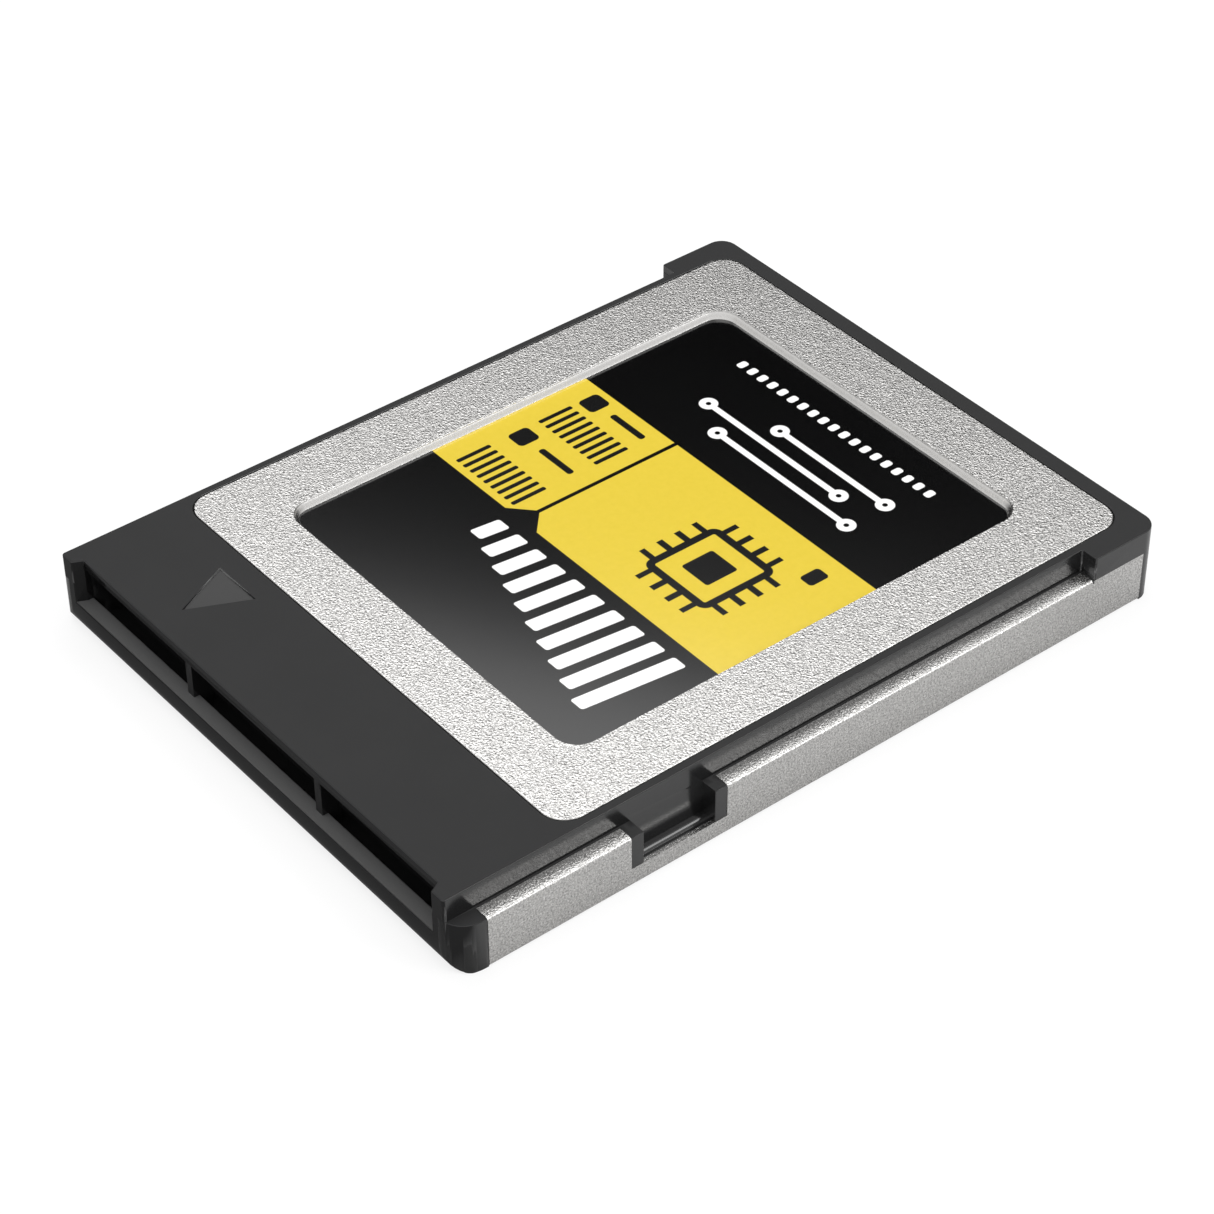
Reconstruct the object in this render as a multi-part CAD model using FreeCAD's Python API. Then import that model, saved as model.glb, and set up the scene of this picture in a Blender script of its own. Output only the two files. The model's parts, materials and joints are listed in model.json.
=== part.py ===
"""Solid-state memory card: a moulded frame between two sheet-metal covers, with
its board, its chips and a bent-strip connector inside.

Units are millimetres. The origin is at the centre of the footprint on the
underside. +Z points up through the labelled face, +Y towards the connector end,
and X runs across the card.
"""

import FreeCAD, Part
import math
import os

from FreeCAD import Vector

# Overall size of the card.
CARD_WIDTH = 29.6
CARD_LENGTH = 38.5
CARD_HEIGHT = 3.8

# Guide rails along both long sides, and the full-width grips at the rear.
RAIL_WIDTH = 0.87
RAIL_HEIGHT = 2.62
GRIP_LENGTH = 3.89
RAIL_FRONT_RADIUS = 1.3
REAR_CORNER_RADIUS = 0.85
FRONT_UNDER_RADIUS = 0.8
REAR_UNDER_RADIUS = 0.4
MOULDED_EDGE_RADIUS = 0.08

# Connector mouth in the front end.
EAR_LENGTH = 0.49
EAR_TIP_WIDTH = 0.78
EAR_SLANT = 0.24
EAR_CORNER_RADIUS = 0.15
MOUTH_ROOF = 0.5
LIP_HEIGHT = 1.57
LIP_THICKNESS = 0.8
MOUTH_FLOOR = 0.85
THROAT_STEP = 0.6
THROAT_LENGTH = 0.8
POST_WIDTH = 0.45
POST_DEPTH = 0.9
POST_OFFSET = 4.73

# Latch notch cut into each rail, between two thin end walls.
NOTCH_CENTRE_Y = 8.055
NOTCH_LENGTH = 3.74
NOTCH_WALL = 0.64
NOTCH_FLOOR = 0.93

# Insertion arrow engraved in the front band.
ARROW_CENTRE_X = 7.36
ARROW_BASE = 2.7
ARROW_LENGTH = 2.8
ARROW_TIP_FROM_FRONT = 2.0
ARROW_DEPTH = 0.1

# Sheet metal of both covers.
SHEET = 0.2
BEND_RADIUS = 0.1
COVER_GAP = 0.03
COVER_SIDE_MARGIN = 0.41
COVER_FRONT_MARGIN = 6.05
COVER_REAR_MARGIN = 0.865
COVER_CORNER_RADIUS = 1.2
COVER_EDGE_RADIUS = 0.06

# Recess pressed into the top cover, and the label film in it.
RECESS_SIDE_MARGIN = 3.32
RECESS_FRONT_MARGIN = 3.28
RECESS_REAR_MARGIN = 3.135
RECESS_DEPTH = 0.42
RECESS_RADIUS = 1.05
RECESS_DRAFT = 0.06
LABEL_THICKNESS = 0.08
LABEL_GAP = 0.04

# Snap tabs folded down from the top cover's long edges, each with a window that
# a wedge in the frame catches.
TAB_LENGTH = 2.4
TAB_DEPTH = 1.1
TAB_SLOT_GAP = 0.04
TAB_POSITIONS = (-13.0, -4.4, 4.2)
TAB_WINDOW_LENGTH = 1.2
TAB_WINDOW_HEIGHT = 0.45
TAB_WINDOW_MARGIN = 0.25
CATCH_REACH = 0.2
CATCH_GAP = 0.04

# Folded bottom shell.
SHELL_FRONT_MARGIN = 1.49
SHELL_REAR_MARGIN = 0.865
FLANGE_GAP = 0.12
GRIP_SEAM = 0.04
RELIEF_LENGTH = 0.1
RELIEF_DEPTH = 0.18

# Space inside the frame.
CAVITY_SIDE_WALL = 1.18
CAVITY_REAR_WALL = 1.95
CAVITY_FRONT_DEPTH = 6.85
CAVITY_RADIUS = 0.7
LEDGE_WIDTH = 0.4
BOARD_UNDERSIDE = 1.25
KEY_RADIUS = 0.55
KEY_Y = -2.9

# Circuit board.
BOARD_THICKNESS = 0.6
BOARD_GAP = 0.1
BOARD_RADIUS = 0.5

# Contacts and the insulator that holds them.
CONTACT_GROUPS = (6, 8, 6)
CONTACT_GROUP_GAP = 1.1
CONTACT_END_MARGIN = 0.71
CONTACT_WIDTH = 0.5
CONTACT_THICKNESS = 0.15
CONTACT_SEAT = 1.35
CONTACT_TIP_FROM_FRONT = 2.35
CONTACT_TAIL_LENGTH = 0.9
CONTACT_TIP_DROP = 0.12
CONTACT_BEND_RADIUS = 0.3
CARRIER_WALL = 1.25
CARRIER_GAP = 0.05
CARRIER_STOP_FROM_FRONT = 4.95
TONGUE_FROM_FRONT = 2.0
TONGUE_RIB = 0.08
TONGUE_CHAMFER = 0.2
GROOVE_GAP = 0.02

# Packages on the board: size across, size along, height. The memory and the buffer
# fill the room that the margins and the other parts leave.
PART_SPACING = 0.5
LOGIC_EDGE_MARGIN = 1.6
CONTROLLER_SIZE = (11.0, 10.0, 1.0)
BUFFER_HEIGHT = 0.8
MEMORY_EDGE_MARGIN = 3.65
MEMORY_HEIGHT = 1.0
MEMORY_LOW_HEIGHT = 0.8
POWER_SIZE = (2.6, 2.6, 0.6)
CRYSTAL_SIZE = (2.0, 1.6, 0.5)
CRYSTAL_LID = 0.1
INDUCTOR_SIZE = (2.5, 2.0, 1.0)
INDUCTOR_CHAMFER = 0.12
INDUCTOR_COUNT = 3
PACKAGE_CAP_INSET = 0.12
PACKAGE_BASE = 0.25
PIN_MARK_SIZE = 0.5
PIN_MARK_INSET = 0.4
PIN_MARK_DEPTH = 0.05
SMALL_PART_SIZE = (1.0, 0.5, 0.5)
SMALL_PART_END = 0.25
SMALL_PART_NECK = 0.03
RESISTOR_HEIGHT = 0.35
ROW_COUNT = 5

# Soft heat pads between packages and covers.
PAD_INSET = 0.8
PAD_GAP = 0.02

HALF_WIDTH = CARD_WIDTH / 2
FRONT_Y = CARD_LENGTH / 2
REAR_Y = -CARD_LENGTH / 2
DECK_HALF = HALF_WIDTH - RAIL_WIDTH
GRIP_Y = REAR_Y + GRIP_LENGTH
SETBACK_Y = FRONT_Y - EAR_LENGTH
MOUTH_TIP_HALF = DECK_HALF - EAR_TIP_WIDTH
MOUTH_HALF = MOUTH_TIP_HALF - EAR_SLANT
MOUTH_TOP = CARD_HEIGHT - MOUTH_ROOF
THROAT_HALF = MOUTH_HALF - THROAT_STEP
TONGUE_HALF = THROAT_HALF - CARRIER_GAP

COVER_HALF = DECK_HALF - COVER_SIDE_MARGIN
COVER_FRONT_Y = FRONT_Y - COVER_FRONT_MARGIN
COVER_REAR_Y = REAR_Y + COVER_REAR_MARGIN
RECESS_HALF = COVER_HALF - RECESS_SIDE_MARGIN
RECESS_FRONT_Y = COVER_FRONT_Y - RECESS_FRONT_MARGIN
RECESS_REAR_Y = COVER_REAR_Y + RECESS_REAR_MARGIN
RECESS_FLOOR = CARD_HEIGHT - RECESS_DEPTH
TAB_FOOT = CARD_HEIGHT - SHEET - TAB_DEPTH

SHELL_FRONT_Y = FRONT_Y - SHELL_FRONT_MARGIN
SHELL_REAR_Y = REAR_Y + SHELL_REAR_MARGIN
FLANGE_EDGE = DECK_HALF + FLANGE_GAP

CAVITY_HALF = DECK_HALF - CAVITY_SIDE_WALL
CAVITY_REAR_Y = REAR_Y + CAVITY_REAR_WALL
CAVITY_FRONT_Y = FRONT_Y - CAVITY_FRONT_DEPTH
CARRIER_STOP_Y = FRONT_Y - CARRIER_STOP_FROM_FRONT
LEDGE_HALF = CAVITY_HALF - LEDGE_WIDTH

BOARD_TOP = BOARD_UNDERSIDE + BOARD_THICKNESS
BOARD_HALF = CAVITY_HALF - BOARD_GAP
BOARD_REAR_Y = CAVITY_REAR_Y + BOARD_GAP
BOARD_FRONT_Y = CAVITY_FRONT_Y - BOARD_GAP
COVER_UNDERSIDE = RECESS_FLOOR - SHEET

# Rows of parts on the board, counted back from the contacts' tails.
PARTS_FRONT_Y = BOARD_FRONT_Y - CONTACT_TAIL_LENGTH - PART_SPACING
LOGIC_REAR_Y = PARTS_FRONT_Y - SMALL_PART_SIZE[1] - PART_SPACING - CONTROLLER_SIZE[1]
ROW_REAR_Y = LOGIC_REAR_Y - PART_SPACING - INDUCTOR_SIZE[1]


def box(x_low, x_high, y_low, y_high, z_low, z_high):
    """A block given by its limits along each axis."""
    size = (x_high - x_low, y_high - y_low, z_high - z_low)
    return Part.makeBox(*size, Vector(x_low, y_low, z_low))


def on_plan(u, v):
    """Places an outline's point on the plan, seen from above."""
    return Vector(u, v, 0)


def on_side(u, v):
    """Places an outline's point on the long side's plane: along the card, then up."""
    return Vector(0, u, v)


def on_section(u, v):
    """Places an outline's point on the cross section: across the card, then up."""
    return Vector(u, 0, v)


def rounded_wire(corners, place):
    """A closed outline through corners (u, v, radius), each rounded by its radius."""
    edges = []
    spans = []
    count = len(corners)
    for i in range(count):
        u, v, radius = corners[i]
        here = Vector(u, v, 0)
        before = Vector(*corners[i - 1][:2], 0) - here
        after = Vector(*corners[(i + 1) % count][:2], 0) - here
        if radius <= 0:
            spans.append((here, None, here))
            continue
        half = before.getAngle(after) / 2
        before.normalize()
        after.normalize()
        run = radius / math.tan(half)
        centre = here + (before + after).normalize() * (radius / math.sin(half))
        middle = centre + (here - centre).normalize() * radius
        spans.append((here + before * run, middle, here + after * run))
    for i in range(count):
        start, middle, end = spans[i]
        if middle is not None:
            points = [place(p.x, p.y) for p in (start, middle, end)]
            edges.append(Part.Arc(*points).toShape())
        follow = spans[(i + 1) % count][0]
        if (follow - end).Length > 1e-6:
            edges.append(Part.LineSegment(place(end.x, end.y), place(follow.x, follow.y)).toShape())
    return Part.Wire(edges)


def plan_prism(corners, z_low, z_high):
    """A plan outline raised from one height to another."""
    face = Part.Face(rounded_wire(corners, on_plan))
    face.translate(Vector(0, 0, z_low))
    return face.extrude(Vector(0, 0, z_high - z_low))


def rectangle(half_width, y_rear, y_front, radius):
    """The four corners of a centred rectangle, all with one radius."""
    return [
        (-half_width, y_rear, radius),
        (half_width, y_rear, radius),
        (half_width, y_front, radius),
        (-half_width, y_front, radius),
    ]


def loft_between(lower, z_low, upper, z_high):
    """A straight-sided body between two plan outlines with like corners."""
    wires = []
    for corners, height in ((lower, z_low), (upper, z_high)):
        wire = rounded_wire(corners, on_plan)
        wire.translate(Vector(0, 0, height))
        wires.append(wire)
    return Part.makeLoft(wires, True, True)


def top_edges(shape, height):
    """The edges of a shape that lie flat at one height."""
    found = []
    for edge in shape.Edges:
        bounds = edge.BoundBox
        if abs(bounds.ZMin - height) < 1e-6 and abs(bounds.ZMax - height) < 1e-6:
            found.append(edge)
    return found


def both_sides(shape):
    """A shape and its mirror image across the card's middle."""
    return [shape, shape.mirror(Vector(0, 0, 0), Vector(1, 0, 0))]


def rail_block():
    """The lower tier: full width, round front corners, rolled under at both ends."""
    corners = [
        (-HALF_WIDTH, REAR_Y, REAR_CORNER_RADIUS),
        (HALF_WIDTH, REAR_Y, REAR_CORNER_RADIUS),
        (HALF_WIDTH, FRONT_Y, RAIL_FRONT_RADIUS),
        (-HALF_WIDTH, FRONT_Y, RAIL_FRONT_RADIUS),
    ]
    plan = plan_prism(corners, 0, RAIL_HEIGHT)
    side = [
        (REAR_Y, 0, REAR_UNDER_RADIUS),
        (FRONT_Y, 0, FRONT_UNDER_RADIUS),
        (FRONT_Y, RAIL_HEIGHT, 0),
        (REAR_Y, RAIL_HEIGHT, 0),
    ]
    profile = Part.Face(rounded_wire(side, on_side))
    profile.translate(Vector(-HALF_WIDTH, 0, 0))
    return plan.common(profile.extrude(Vector(CARD_WIDTH, 0, 0)))


def deck_block():
    """The upper tier: narrow deck with front ears, and the full-width rear grips."""
    edge = MOULDED_EDGE_RADIUS
    right = [
        (HALF_WIDTH, REAR_Y, REAR_CORNER_RADIUS),
        (HALF_WIDTH, GRIP_Y, edge),
        (DECK_HALF, GRIP_Y, edge),
        (DECK_HALF, FRONT_Y, EAR_CORNER_RADIUS),
        (MOUTH_TIP_HALF, FRONT_Y, edge),
        (MOUTH_HALF, SETBACK_Y, edge),
    ]
    left = [(-x, y, radius) for x, y, radius in reversed(right)]
    deck = plan_prism(right + left, RAIL_HEIGHT, CARD_HEIGHT)
    return deck.makeFillet(edge, top_edges(deck, CARD_HEIGHT))


def mouth_cutters():
    """The connector mouth: its opening between the ears, its well and its throat."""
    beyond = FRONT_Y + EAR_LENGTH
    lip_y = FRONT_Y - LIP_THICKNESS
    opening_plan = [
        (-MOUTH_HALF, lip_y, 0),
        (MOUTH_HALF, lip_y, 0),
        (MOUTH_HALF, SETBACK_Y, 0),
        (MOUTH_TIP_HALF, FRONT_Y, 0),
        (MOUTH_TIP_HALF, beyond, 0),
        (-MOUTH_TIP_HALF, beyond, 0),
        (-MOUTH_TIP_HALF, FRONT_Y, 0),
        (-MOUTH_HALF, SETBACK_Y, 0),
    ]
    opening = plan_prism(opening_plan, LIP_HEIGHT, MOUTH_TOP)
    throat_y = lip_y - THROAT_LENGTH
    funnel_plan = [
        (-THROAT_HALF, CARRIER_STOP_Y, 0),
        (THROAT_HALF, CARRIER_STOP_Y, 0),
        (THROAT_HALF, throat_y, 0),
        (MOUTH_HALF, lip_y, 0),
        (-MOUTH_HALF, lip_y, 0),
        (-THROAT_HALF, throat_y, 0),
    ]
    funnel = plan_prism(funnel_plan, MOUTH_FLOOR, MOUTH_TOP)
    bay = box(
        -CAVITY_HALF, CAVITY_HALF, CAVITY_FRONT_Y, CARRIER_STOP_Y, BOARD_UNDERSIDE, MOUTH_TOP,
    )
    low_bay = box(
        -LEDGE_HALF, LEDGE_HALF, CAVITY_FRONT_Y, CARRIER_STOP_Y, MOUTH_FLOOR, BOARD_UNDERSIDE,
    )
    return [opening, funnel, bay, low_bay]


def lip_edges(frame):
    """The two long edges on top of the mouth's lip."""
    found = []
    for edge in frame.Edges:
        bounds = edge.BoundBox
        level = abs(bounds.ZMin - LIP_HEIGHT) < 1e-6 and abs(bounds.ZMax - LIP_HEIGHT) < 1e-6
        if level and bounds.XLength > 2 * THROAT_HALF and bounds.YLength < 1e-6:
            found.append(edge)
    return found


def mouth_posts():
    """Two posts between floor and roof that split the mouth into three."""
    posts = []
    for side in (-1, 1):
        middle = side * POST_OFFSET
        posts.append(box(
            middle - POST_WIDTH / 2, middle + POST_WIDTH / 2,
            SETBACK_Y - POST_DEPTH, SETBACK_Y, MOUTH_FLOOR, MOUTH_TOP,
        ))
    return posts


def cavity_cutters():
    """The space for the board and its parts, with a ledge under the board's edge."""
    upper_plan = rectangle(CAVITY_HALF, CAVITY_REAR_Y, CAVITY_FRONT_Y, CAVITY_RADIUS)
    upper = plan_prism(upper_plan, BOARD_UNDERSIDE, CARD_HEIGHT)
    lower_rear_y = CAVITY_REAR_Y + LEDGE_WIDTH
    lower_plan = rectangle(LEDGE_HALF, lower_rear_y, CAVITY_FRONT_Y, CAVITY_RADIUS)
    lower = plan_prism(lower_plan, 0, BOARD_UNDERSIDE)
    return [upper, lower]


def board_keys(radius):
    """Half-round ribs on the cavity's side walls that locate the board."""
    key = Part.makeCylinder(
        radius, COVER_UNDERSIDE - BOARD_UNDERSIDE, Vector(CAVITY_HALF, KEY_Y, BOARD_UNDERSIDE),
    )
    return both_sides(key)


def notch_cutters():
    """The latch pocket in each rail, open to the side and above."""
    half = NOTCH_LENGTH / 2
    pocket = box(
        DECK_HALF, HALF_WIDTH, NOTCH_CENTRE_Y - half, NOTCH_CENTRE_Y + half,
        NOTCH_FLOOR, RAIL_HEIGHT,
    )
    return both_sides(pocket)


def arrow_cutter():
    """The engraved triangle that points into the host."""
    tip_y = FRONT_Y - ARROW_TIP_FROM_FRONT
    corners = [
        (ARROW_CENTRE_X - ARROW_BASE / 2, tip_y - ARROW_LENGTH, 0),
        (ARROW_CENTRE_X + ARROW_BASE / 2, tip_y - ARROW_LENGTH, 0),
        (ARROW_CENTRE_X, tip_y, 0),
    ]
    return plan_prism(corners, CARD_HEIGHT - ARROW_DEPTH, CARD_HEIGHT)


def tab_boxes(gap):
    """The spaces of the top cover's folded tabs, grown all round by a gap."""
    boxes = []
    for middle in TAB_POSITIONS:
        tab = box(
            COVER_HALF - SHEET - gap, COVER_HALF + gap,
            middle - TAB_LENGTH / 2 - gap, middle + TAB_LENGTH / 2 + gap,
            TAB_FOOT - gap, CARD_HEIGHT - SHEET,
        )
        boxes += both_sides(tab)
    return boxes


def tab_windows():
    """The window near each tab's foot."""
    windows = []
    for middle in TAB_POSITIONS:
        window = box(
            COVER_HALF - SHEET, COVER_HALF,
            middle - TAB_WINDOW_LENGTH / 2, middle + TAB_WINDOW_LENGTH / 2,
            TAB_FOOT + TAB_WINDOW_MARGIN, TAB_FOOT + TAB_WINDOW_MARGIN + TAB_WINDOW_HEIGHT,
        )
        windows += both_sides(window)
    return windows


def tab_catches():
    """A wedge for each window: its top slopes for the tab, its flat foot holds it."""
    catches = []
    root = COVER_HALF - SHEET - TAB_SLOT_GAP
    foot = TAB_FOOT + TAB_WINDOW_MARGIN + CATCH_GAP
    head = foot + TAB_WINDOW_HEIGHT - 2 * CATCH_GAP
    section = [(root, foot, 0), (root + CATCH_REACH, foot, 0), (root, head, 0)]
    half = TAB_WINDOW_LENGTH / 2 - CATCH_GAP
    for middle in TAB_POSITIONS:
        catches += both_sides(section_prism(section, middle - half, middle + half))
    return catches


def cover_plate(gap):
    """The top cover's flat outline, grown all round by a gap, one sheet thick."""
    corners = rectangle(
        COVER_HALF + gap, COVER_REAR_Y - gap, COVER_FRONT_Y + gap, COVER_CORNER_RADIUS + gap,
    )
    return plan_prism(corners, CARD_HEIGHT - SHEET, CARD_HEIGHT)


def recess_body(grow, z_top, z_floor):
    """The pressed recess as a body: wider by `grow`, with drafted walls."""
    upper = rectangle(
        RECESS_HALF + grow, RECESS_REAR_Y - grow, RECESS_FRONT_Y + grow, RECESS_RADIUS + grow,
    )
    shrink = grow - RECESS_DRAFT
    lower = rectangle(
        RECESS_HALF + shrink, RECESS_REAR_Y - shrink, RECESS_FRONT_Y + shrink,
        RECESS_RADIUS + shrink,
    )
    return loft_between(lower, z_floor, upper, z_top)


def make_top_cover():
    """Stamped lid: flat rim, pressed label recess, rolled edge and folded tabs."""
    plate = cover_plate(0)
    plate = plate.makeFillet(COVER_EDGE_RADIUS, top_edges(plate, CARD_HEIGHT))
    dish = recess_body(SHEET, CARD_HEIGHT - SHEET, COVER_UNDERSIDE)
    cover = plate.fuse([dish] + tab_boxes(0))
    cutters = [recess_body(0, CARD_HEIGHT, RECESS_FLOOR)] + tab_windows()
    return cover.cut(cutters).removeSplitter()


def make_label():
    """Printed film that lies on the floor of the recess."""
    inset = RECESS_DRAFT + LABEL_GAP
    corners = rectangle(
        RECESS_HALF - inset, RECESS_REAR_Y + inset, RECESS_FRONT_Y - inset,
        RECESS_RADIUS - inset,
    )
    return plan_prism(corners, RECESS_FLOOR, RECESS_FLOOR + LABEL_THICKNESS)


def shell_section(inset):
    """The bottom shell's outer cross section, moved inward by `inset`."""
    half = HALF_WIDTH - inset
    radius = BEND_RADIUS + SHEET - inset
    return [
        (-half, inset, radius),
        (half, inset, radius),
        (half, RAIL_HEIGHT - inset, radius),
        (-half, RAIL_HEIGHT - inset, radius),
    ]


def section_prism(corners, y_low, y_high):
    """A cross section carried along the card."""
    face = Part.Face(rounded_wire(corners, on_section))
    face.translate(Vector(0, y_low, 0))
    return face.extrude(Vector(0, y_high - y_low, 0))


def fold_shell(outer):
    """Hollows an outer body to the sheet, then trims its flanges, notches and rear walls."""
    hollow = section_prism(shell_section(SHEET), SHELL_REAR_Y, SHELL_FRONT_Y)
    middle = RAIL_HEIGHT / 2
    between = box(-FLANGE_EDGE, FLANGE_EDGE, SHELL_REAR_Y, SHELL_FRONT_Y, middle, RAIL_HEIGHT)
    notch_half = NOTCH_LENGTH / 2 + NOTCH_WALL
    notch = box(
        -HALF_WIDTH, HALF_WIDTH, NOTCH_CENTRE_Y - notch_half, NOTCH_CENTRE_Y + notch_half,
        NOTCH_FLOOR, RAIL_HEIGHT,
    )
    relief_y = GRIP_Y + RELIEF_LENGTH
    grip = box(-HALF_WIDTH, HALF_WIDTH, SHELL_REAR_Y, relief_y, middle, RAIL_HEIGHT)
    shell = outer.cut([hollow, between, notch, grip])
    inner = HALF_WIDTH - SHEET
    under_grip = box(inner, HALF_WIDTH, SHELL_REAR_Y, GRIP_Y, middle, RAIL_HEIGHT - GRIP_SEAM)
    relief = box(inner, HALF_WIDTH, GRIP_Y, relief_y, middle, RAIL_HEIGHT - RELIEF_DEPTH)
    return shell.fuse(both_sides(under_grip) + both_sides(relief)).removeSplitter()


def make_bottom_cover():
    """Folded shell: floor, both side walls, and flanges turned in on the rails."""
    return fold_shell(section_prism(shell_section(0), SHELL_REAR_Y, SHELL_FRONT_Y))


def shell_bed():
    """What the frame gives up to the shell: the sheet and the corners outside its bends."""
    square = box(-HALF_WIDTH, HALF_WIDTH, SHELL_REAR_Y, SHELL_FRONT_Y, 0, RAIL_HEIGHT)
    return fold_shell(square)


def make_frame_housing():
    """The moulded frame: two tiers, mouth, cavity, notches and seats for both covers."""
    frame = rail_block().fuse(deck_block()).removeSplitter()
    cutters = mouth_cutters() + cavity_cutters() + notch_cutters()
    cutters += tab_boxes(TAB_SLOT_GAP)
    cutters += [arrow_cutter(), cover_plate(COVER_GAP), shell_bed()]
    frame = frame.cut(cutters)
    frame = frame.makeFillet(MOULDED_EDGE_RADIUS, lip_edges(frame))
    cavity = cavity_cutters()[0]
    keys = [key.common(cavity) for key in board_keys(KEY_RADIUS)]
    return frame.fuse(mouth_posts() + tab_catches() + keys).removeSplitter()


def make_circuit_board():
    """The board: a rounded plate with two key notches."""
    plan = rectangle(BOARD_HALF, BOARD_REAR_Y, BOARD_FRONT_Y, BOARD_RADIUS)
    board = plan_prism(plan, BOARD_UNDERSIDE, BOARD_TOP)
    return board.cut(board_keys(KEY_RADIUS + BOARD_GAP))


def contact_places():
    """The contacts' X positions, spread over the tongue in groups parted at the posts."""
    end_x = TONGUE_HALF - CONTACT_END_MARGIN
    gaps = (len(CONTACT_GROUPS) - 1) * CONTACT_GROUP_GAP
    pitch = (2 * end_x - gaps) / (sum(CONTACT_GROUPS) - 1)
    places = []
    x = -end_x
    for count in CONTACT_GROUPS:
        for _ in range(count):
            places.append(x)
            x += pitch
        x += CONTACT_GROUP_GAP
    return places


def contact_side_line():
    """The strip's centre line seen from the side, from its tip to its soldered tail."""
    middle = CONTACT_SEAT + CONTACT_THICKNESS / 2
    tail = BOARD_TOP + CONTACT_THICKNESS / 2
    tip_y = FRONT_Y - CONTACT_TIP_FROM_FRONT
    rise = tail - middle
    return [
        (tip_y, middle - CONTACT_TIP_DROP),
        (tip_y - 2 * CONTACT_TIP_DROP, middle),
        (CAVITY_FRONT_Y + rise, middle),
        (CAVITY_FRONT_Y, tail),
        (BOARD_FRONT_Y - CONTACT_TAIL_LENGTH, tail),
    ]


def offset_line(line, distance):
    """A side line moved square to its runs, with mitred bends."""
    moved = []
    for i in range(len(line)):
        here = Vector(*line[i], 0)
        normals = []
        for a, b in ((i - 1, i), (i, i + 1)):
            if a < 0 or b >= len(line):
                continue
            run = Vector(*line[b], 0) - Vector(*line[a], 0)
            normals.append(Vector(run.y, -run.x, 0).normalize())
        if len(normals) == 2:
            mitre = (normals[0] + normals[1]).normalize()
            step = distance / mitre.dot(normals[0])
        else:
            mitre = normals[0]
            step = distance
        point = here + mitre * step
        moved.append((point.x, point.y))
    return moved


def make_contact(x):
    """One contact strip: dropped tip, flat blade, raised joggle and soldered tail."""
    line = contact_side_line()
    above = offset_line(line, CONTACT_THICKNESS / 2)
    below = offset_line(line, -CONTACT_THICKNESS / 2)
    radius = CONTACT_BEND_RADIUS
    radii = [0, 0, 0, radius, 0] + [0, 0, radius, 0, 0]
    corners = [(u, v, r) for (u, v), r in zip(above + below[::-1], radii)]
    face = Part.Face(rounded_wire(corners, on_side))
    face.translate(Vector(x - CONTACT_WIDTH / 2, 0, 0))
    return face.extrude(Vector(CONTACT_WIDTH, 0, 0))


def make_contact_carrier():
    """The insulator: a wall across the mouth's back and a tongue with contact grooves."""
    front_y = CARRIER_STOP_Y - CARRIER_GAP
    wall_half = CAVITY_HALF - CARRIER_GAP
    tongue_top = CONTACT_SEAT + CONTACT_THICKNESS - TONGUE_RIB
    tongue_y = FRONT_Y - TONGUE_FROM_FRONT
    wall = box(
        -wall_half, wall_half, front_y - CARRIER_WALL, front_y,
        BOARD_UNDERSIDE, MOUTH_TOP - GROOVE_GAP,
    )
    side = [
        (front_y - CARRIER_WALL, MOUTH_FLOOR, 0),
        (tongue_y, MOUTH_FLOOR, 0),
        (tongue_y, tongue_top - TONGUE_CHAMFER, 0),
        (tongue_y - TONGUE_CHAMFER, tongue_top, 0),
        (front_y - CARRIER_WALL, tongue_top, 0),
    ]
    tongue = Part.Face(rounded_wire(side, on_side))
    tongue.translate(Vector(-TONGUE_HALF, 0, 0))
    carrier = wall.fuse(tongue.extrude(Vector(2 * TONGUE_HALF, 0, 0)))
    half = CONTACT_WIDTH / 2 + GROOVE_GAP
    groove_y = FRONT_Y - CONTACT_TIP_FROM_FRONT + CONTACT_THICKNESS
    pocket_length = 2 * (CONTACT_TIP_DROP + CONTACT_THICKNESS)
    grooves = [
        box(
            x - half, x + half, front_y - CARRIER_WALL, groove_y,
            CONTACT_SEAT, CONTACT_SEAT + CONTACT_THICKNESS + GROOVE_GAP,
        )
        for x in contact_places()
    ]
    tip_pockets = [
        box(
            x - half, x + half, groove_y - pocket_length, groove_y,
            CONTACT_SEAT - CONTACT_TIP_DROP - CONTACT_THICKNESS, CONTACT_SEAT + GROOVE_GAP,
        )
        for x in contact_places()
    ]
    return carrier.cut(grooves + tip_pockets).removeSplitter()


def shrink(area, inset):
    """A plan area (x low, x high, y low, y high) with each side moved inward."""
    x_low, x_high, y_low, y_high = area
    return (x_low + inset, x_high - inset, y_low + inset, y_high - inset)


def area_at(x_low, y_low, size):
    """The plan area of a part that is given by its low corner and its size."""
    return (x_low, x_low + size[0], y_low, y_low + size[1])


def make_package(area, height):
    """A chip package on the board's top: base, moulded cap and pin-one mark."""
    seam = BOARD_TOP + PACKAGE_BASE
    top = BOARD_TOP + height
    base = box(*area, BOARD_TOP, seam)
    cap = box(*shrink(area, PACKAGE_CAP_INSET), seam, top)
    mark_x, _, mark_y, _ = shrink(area, PIN_MARK_INSET)
    corners = [
        (mark_x, mark_y, 0),
        (mark_x + PIN_MARK_SIZE, mark_y, 0),
        (mark_x, mark_y + PIN_MARK_SIZE, 0),
    ]
    mark = plan_prism(corners, top - PIN_MARK_DEPTH, top)
    return base.fuse(cap).cut(mark).removeSplitter()


def under_board(shape):
    """Turns a part that stands on the board's top over onto its underside."""
    middle = (BOARD_TOP + BOARD_UNDERSIDE) / 2
    return shape.mirror(Vector(0, 0, middle), Vector(0, 0, 1))


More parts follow.
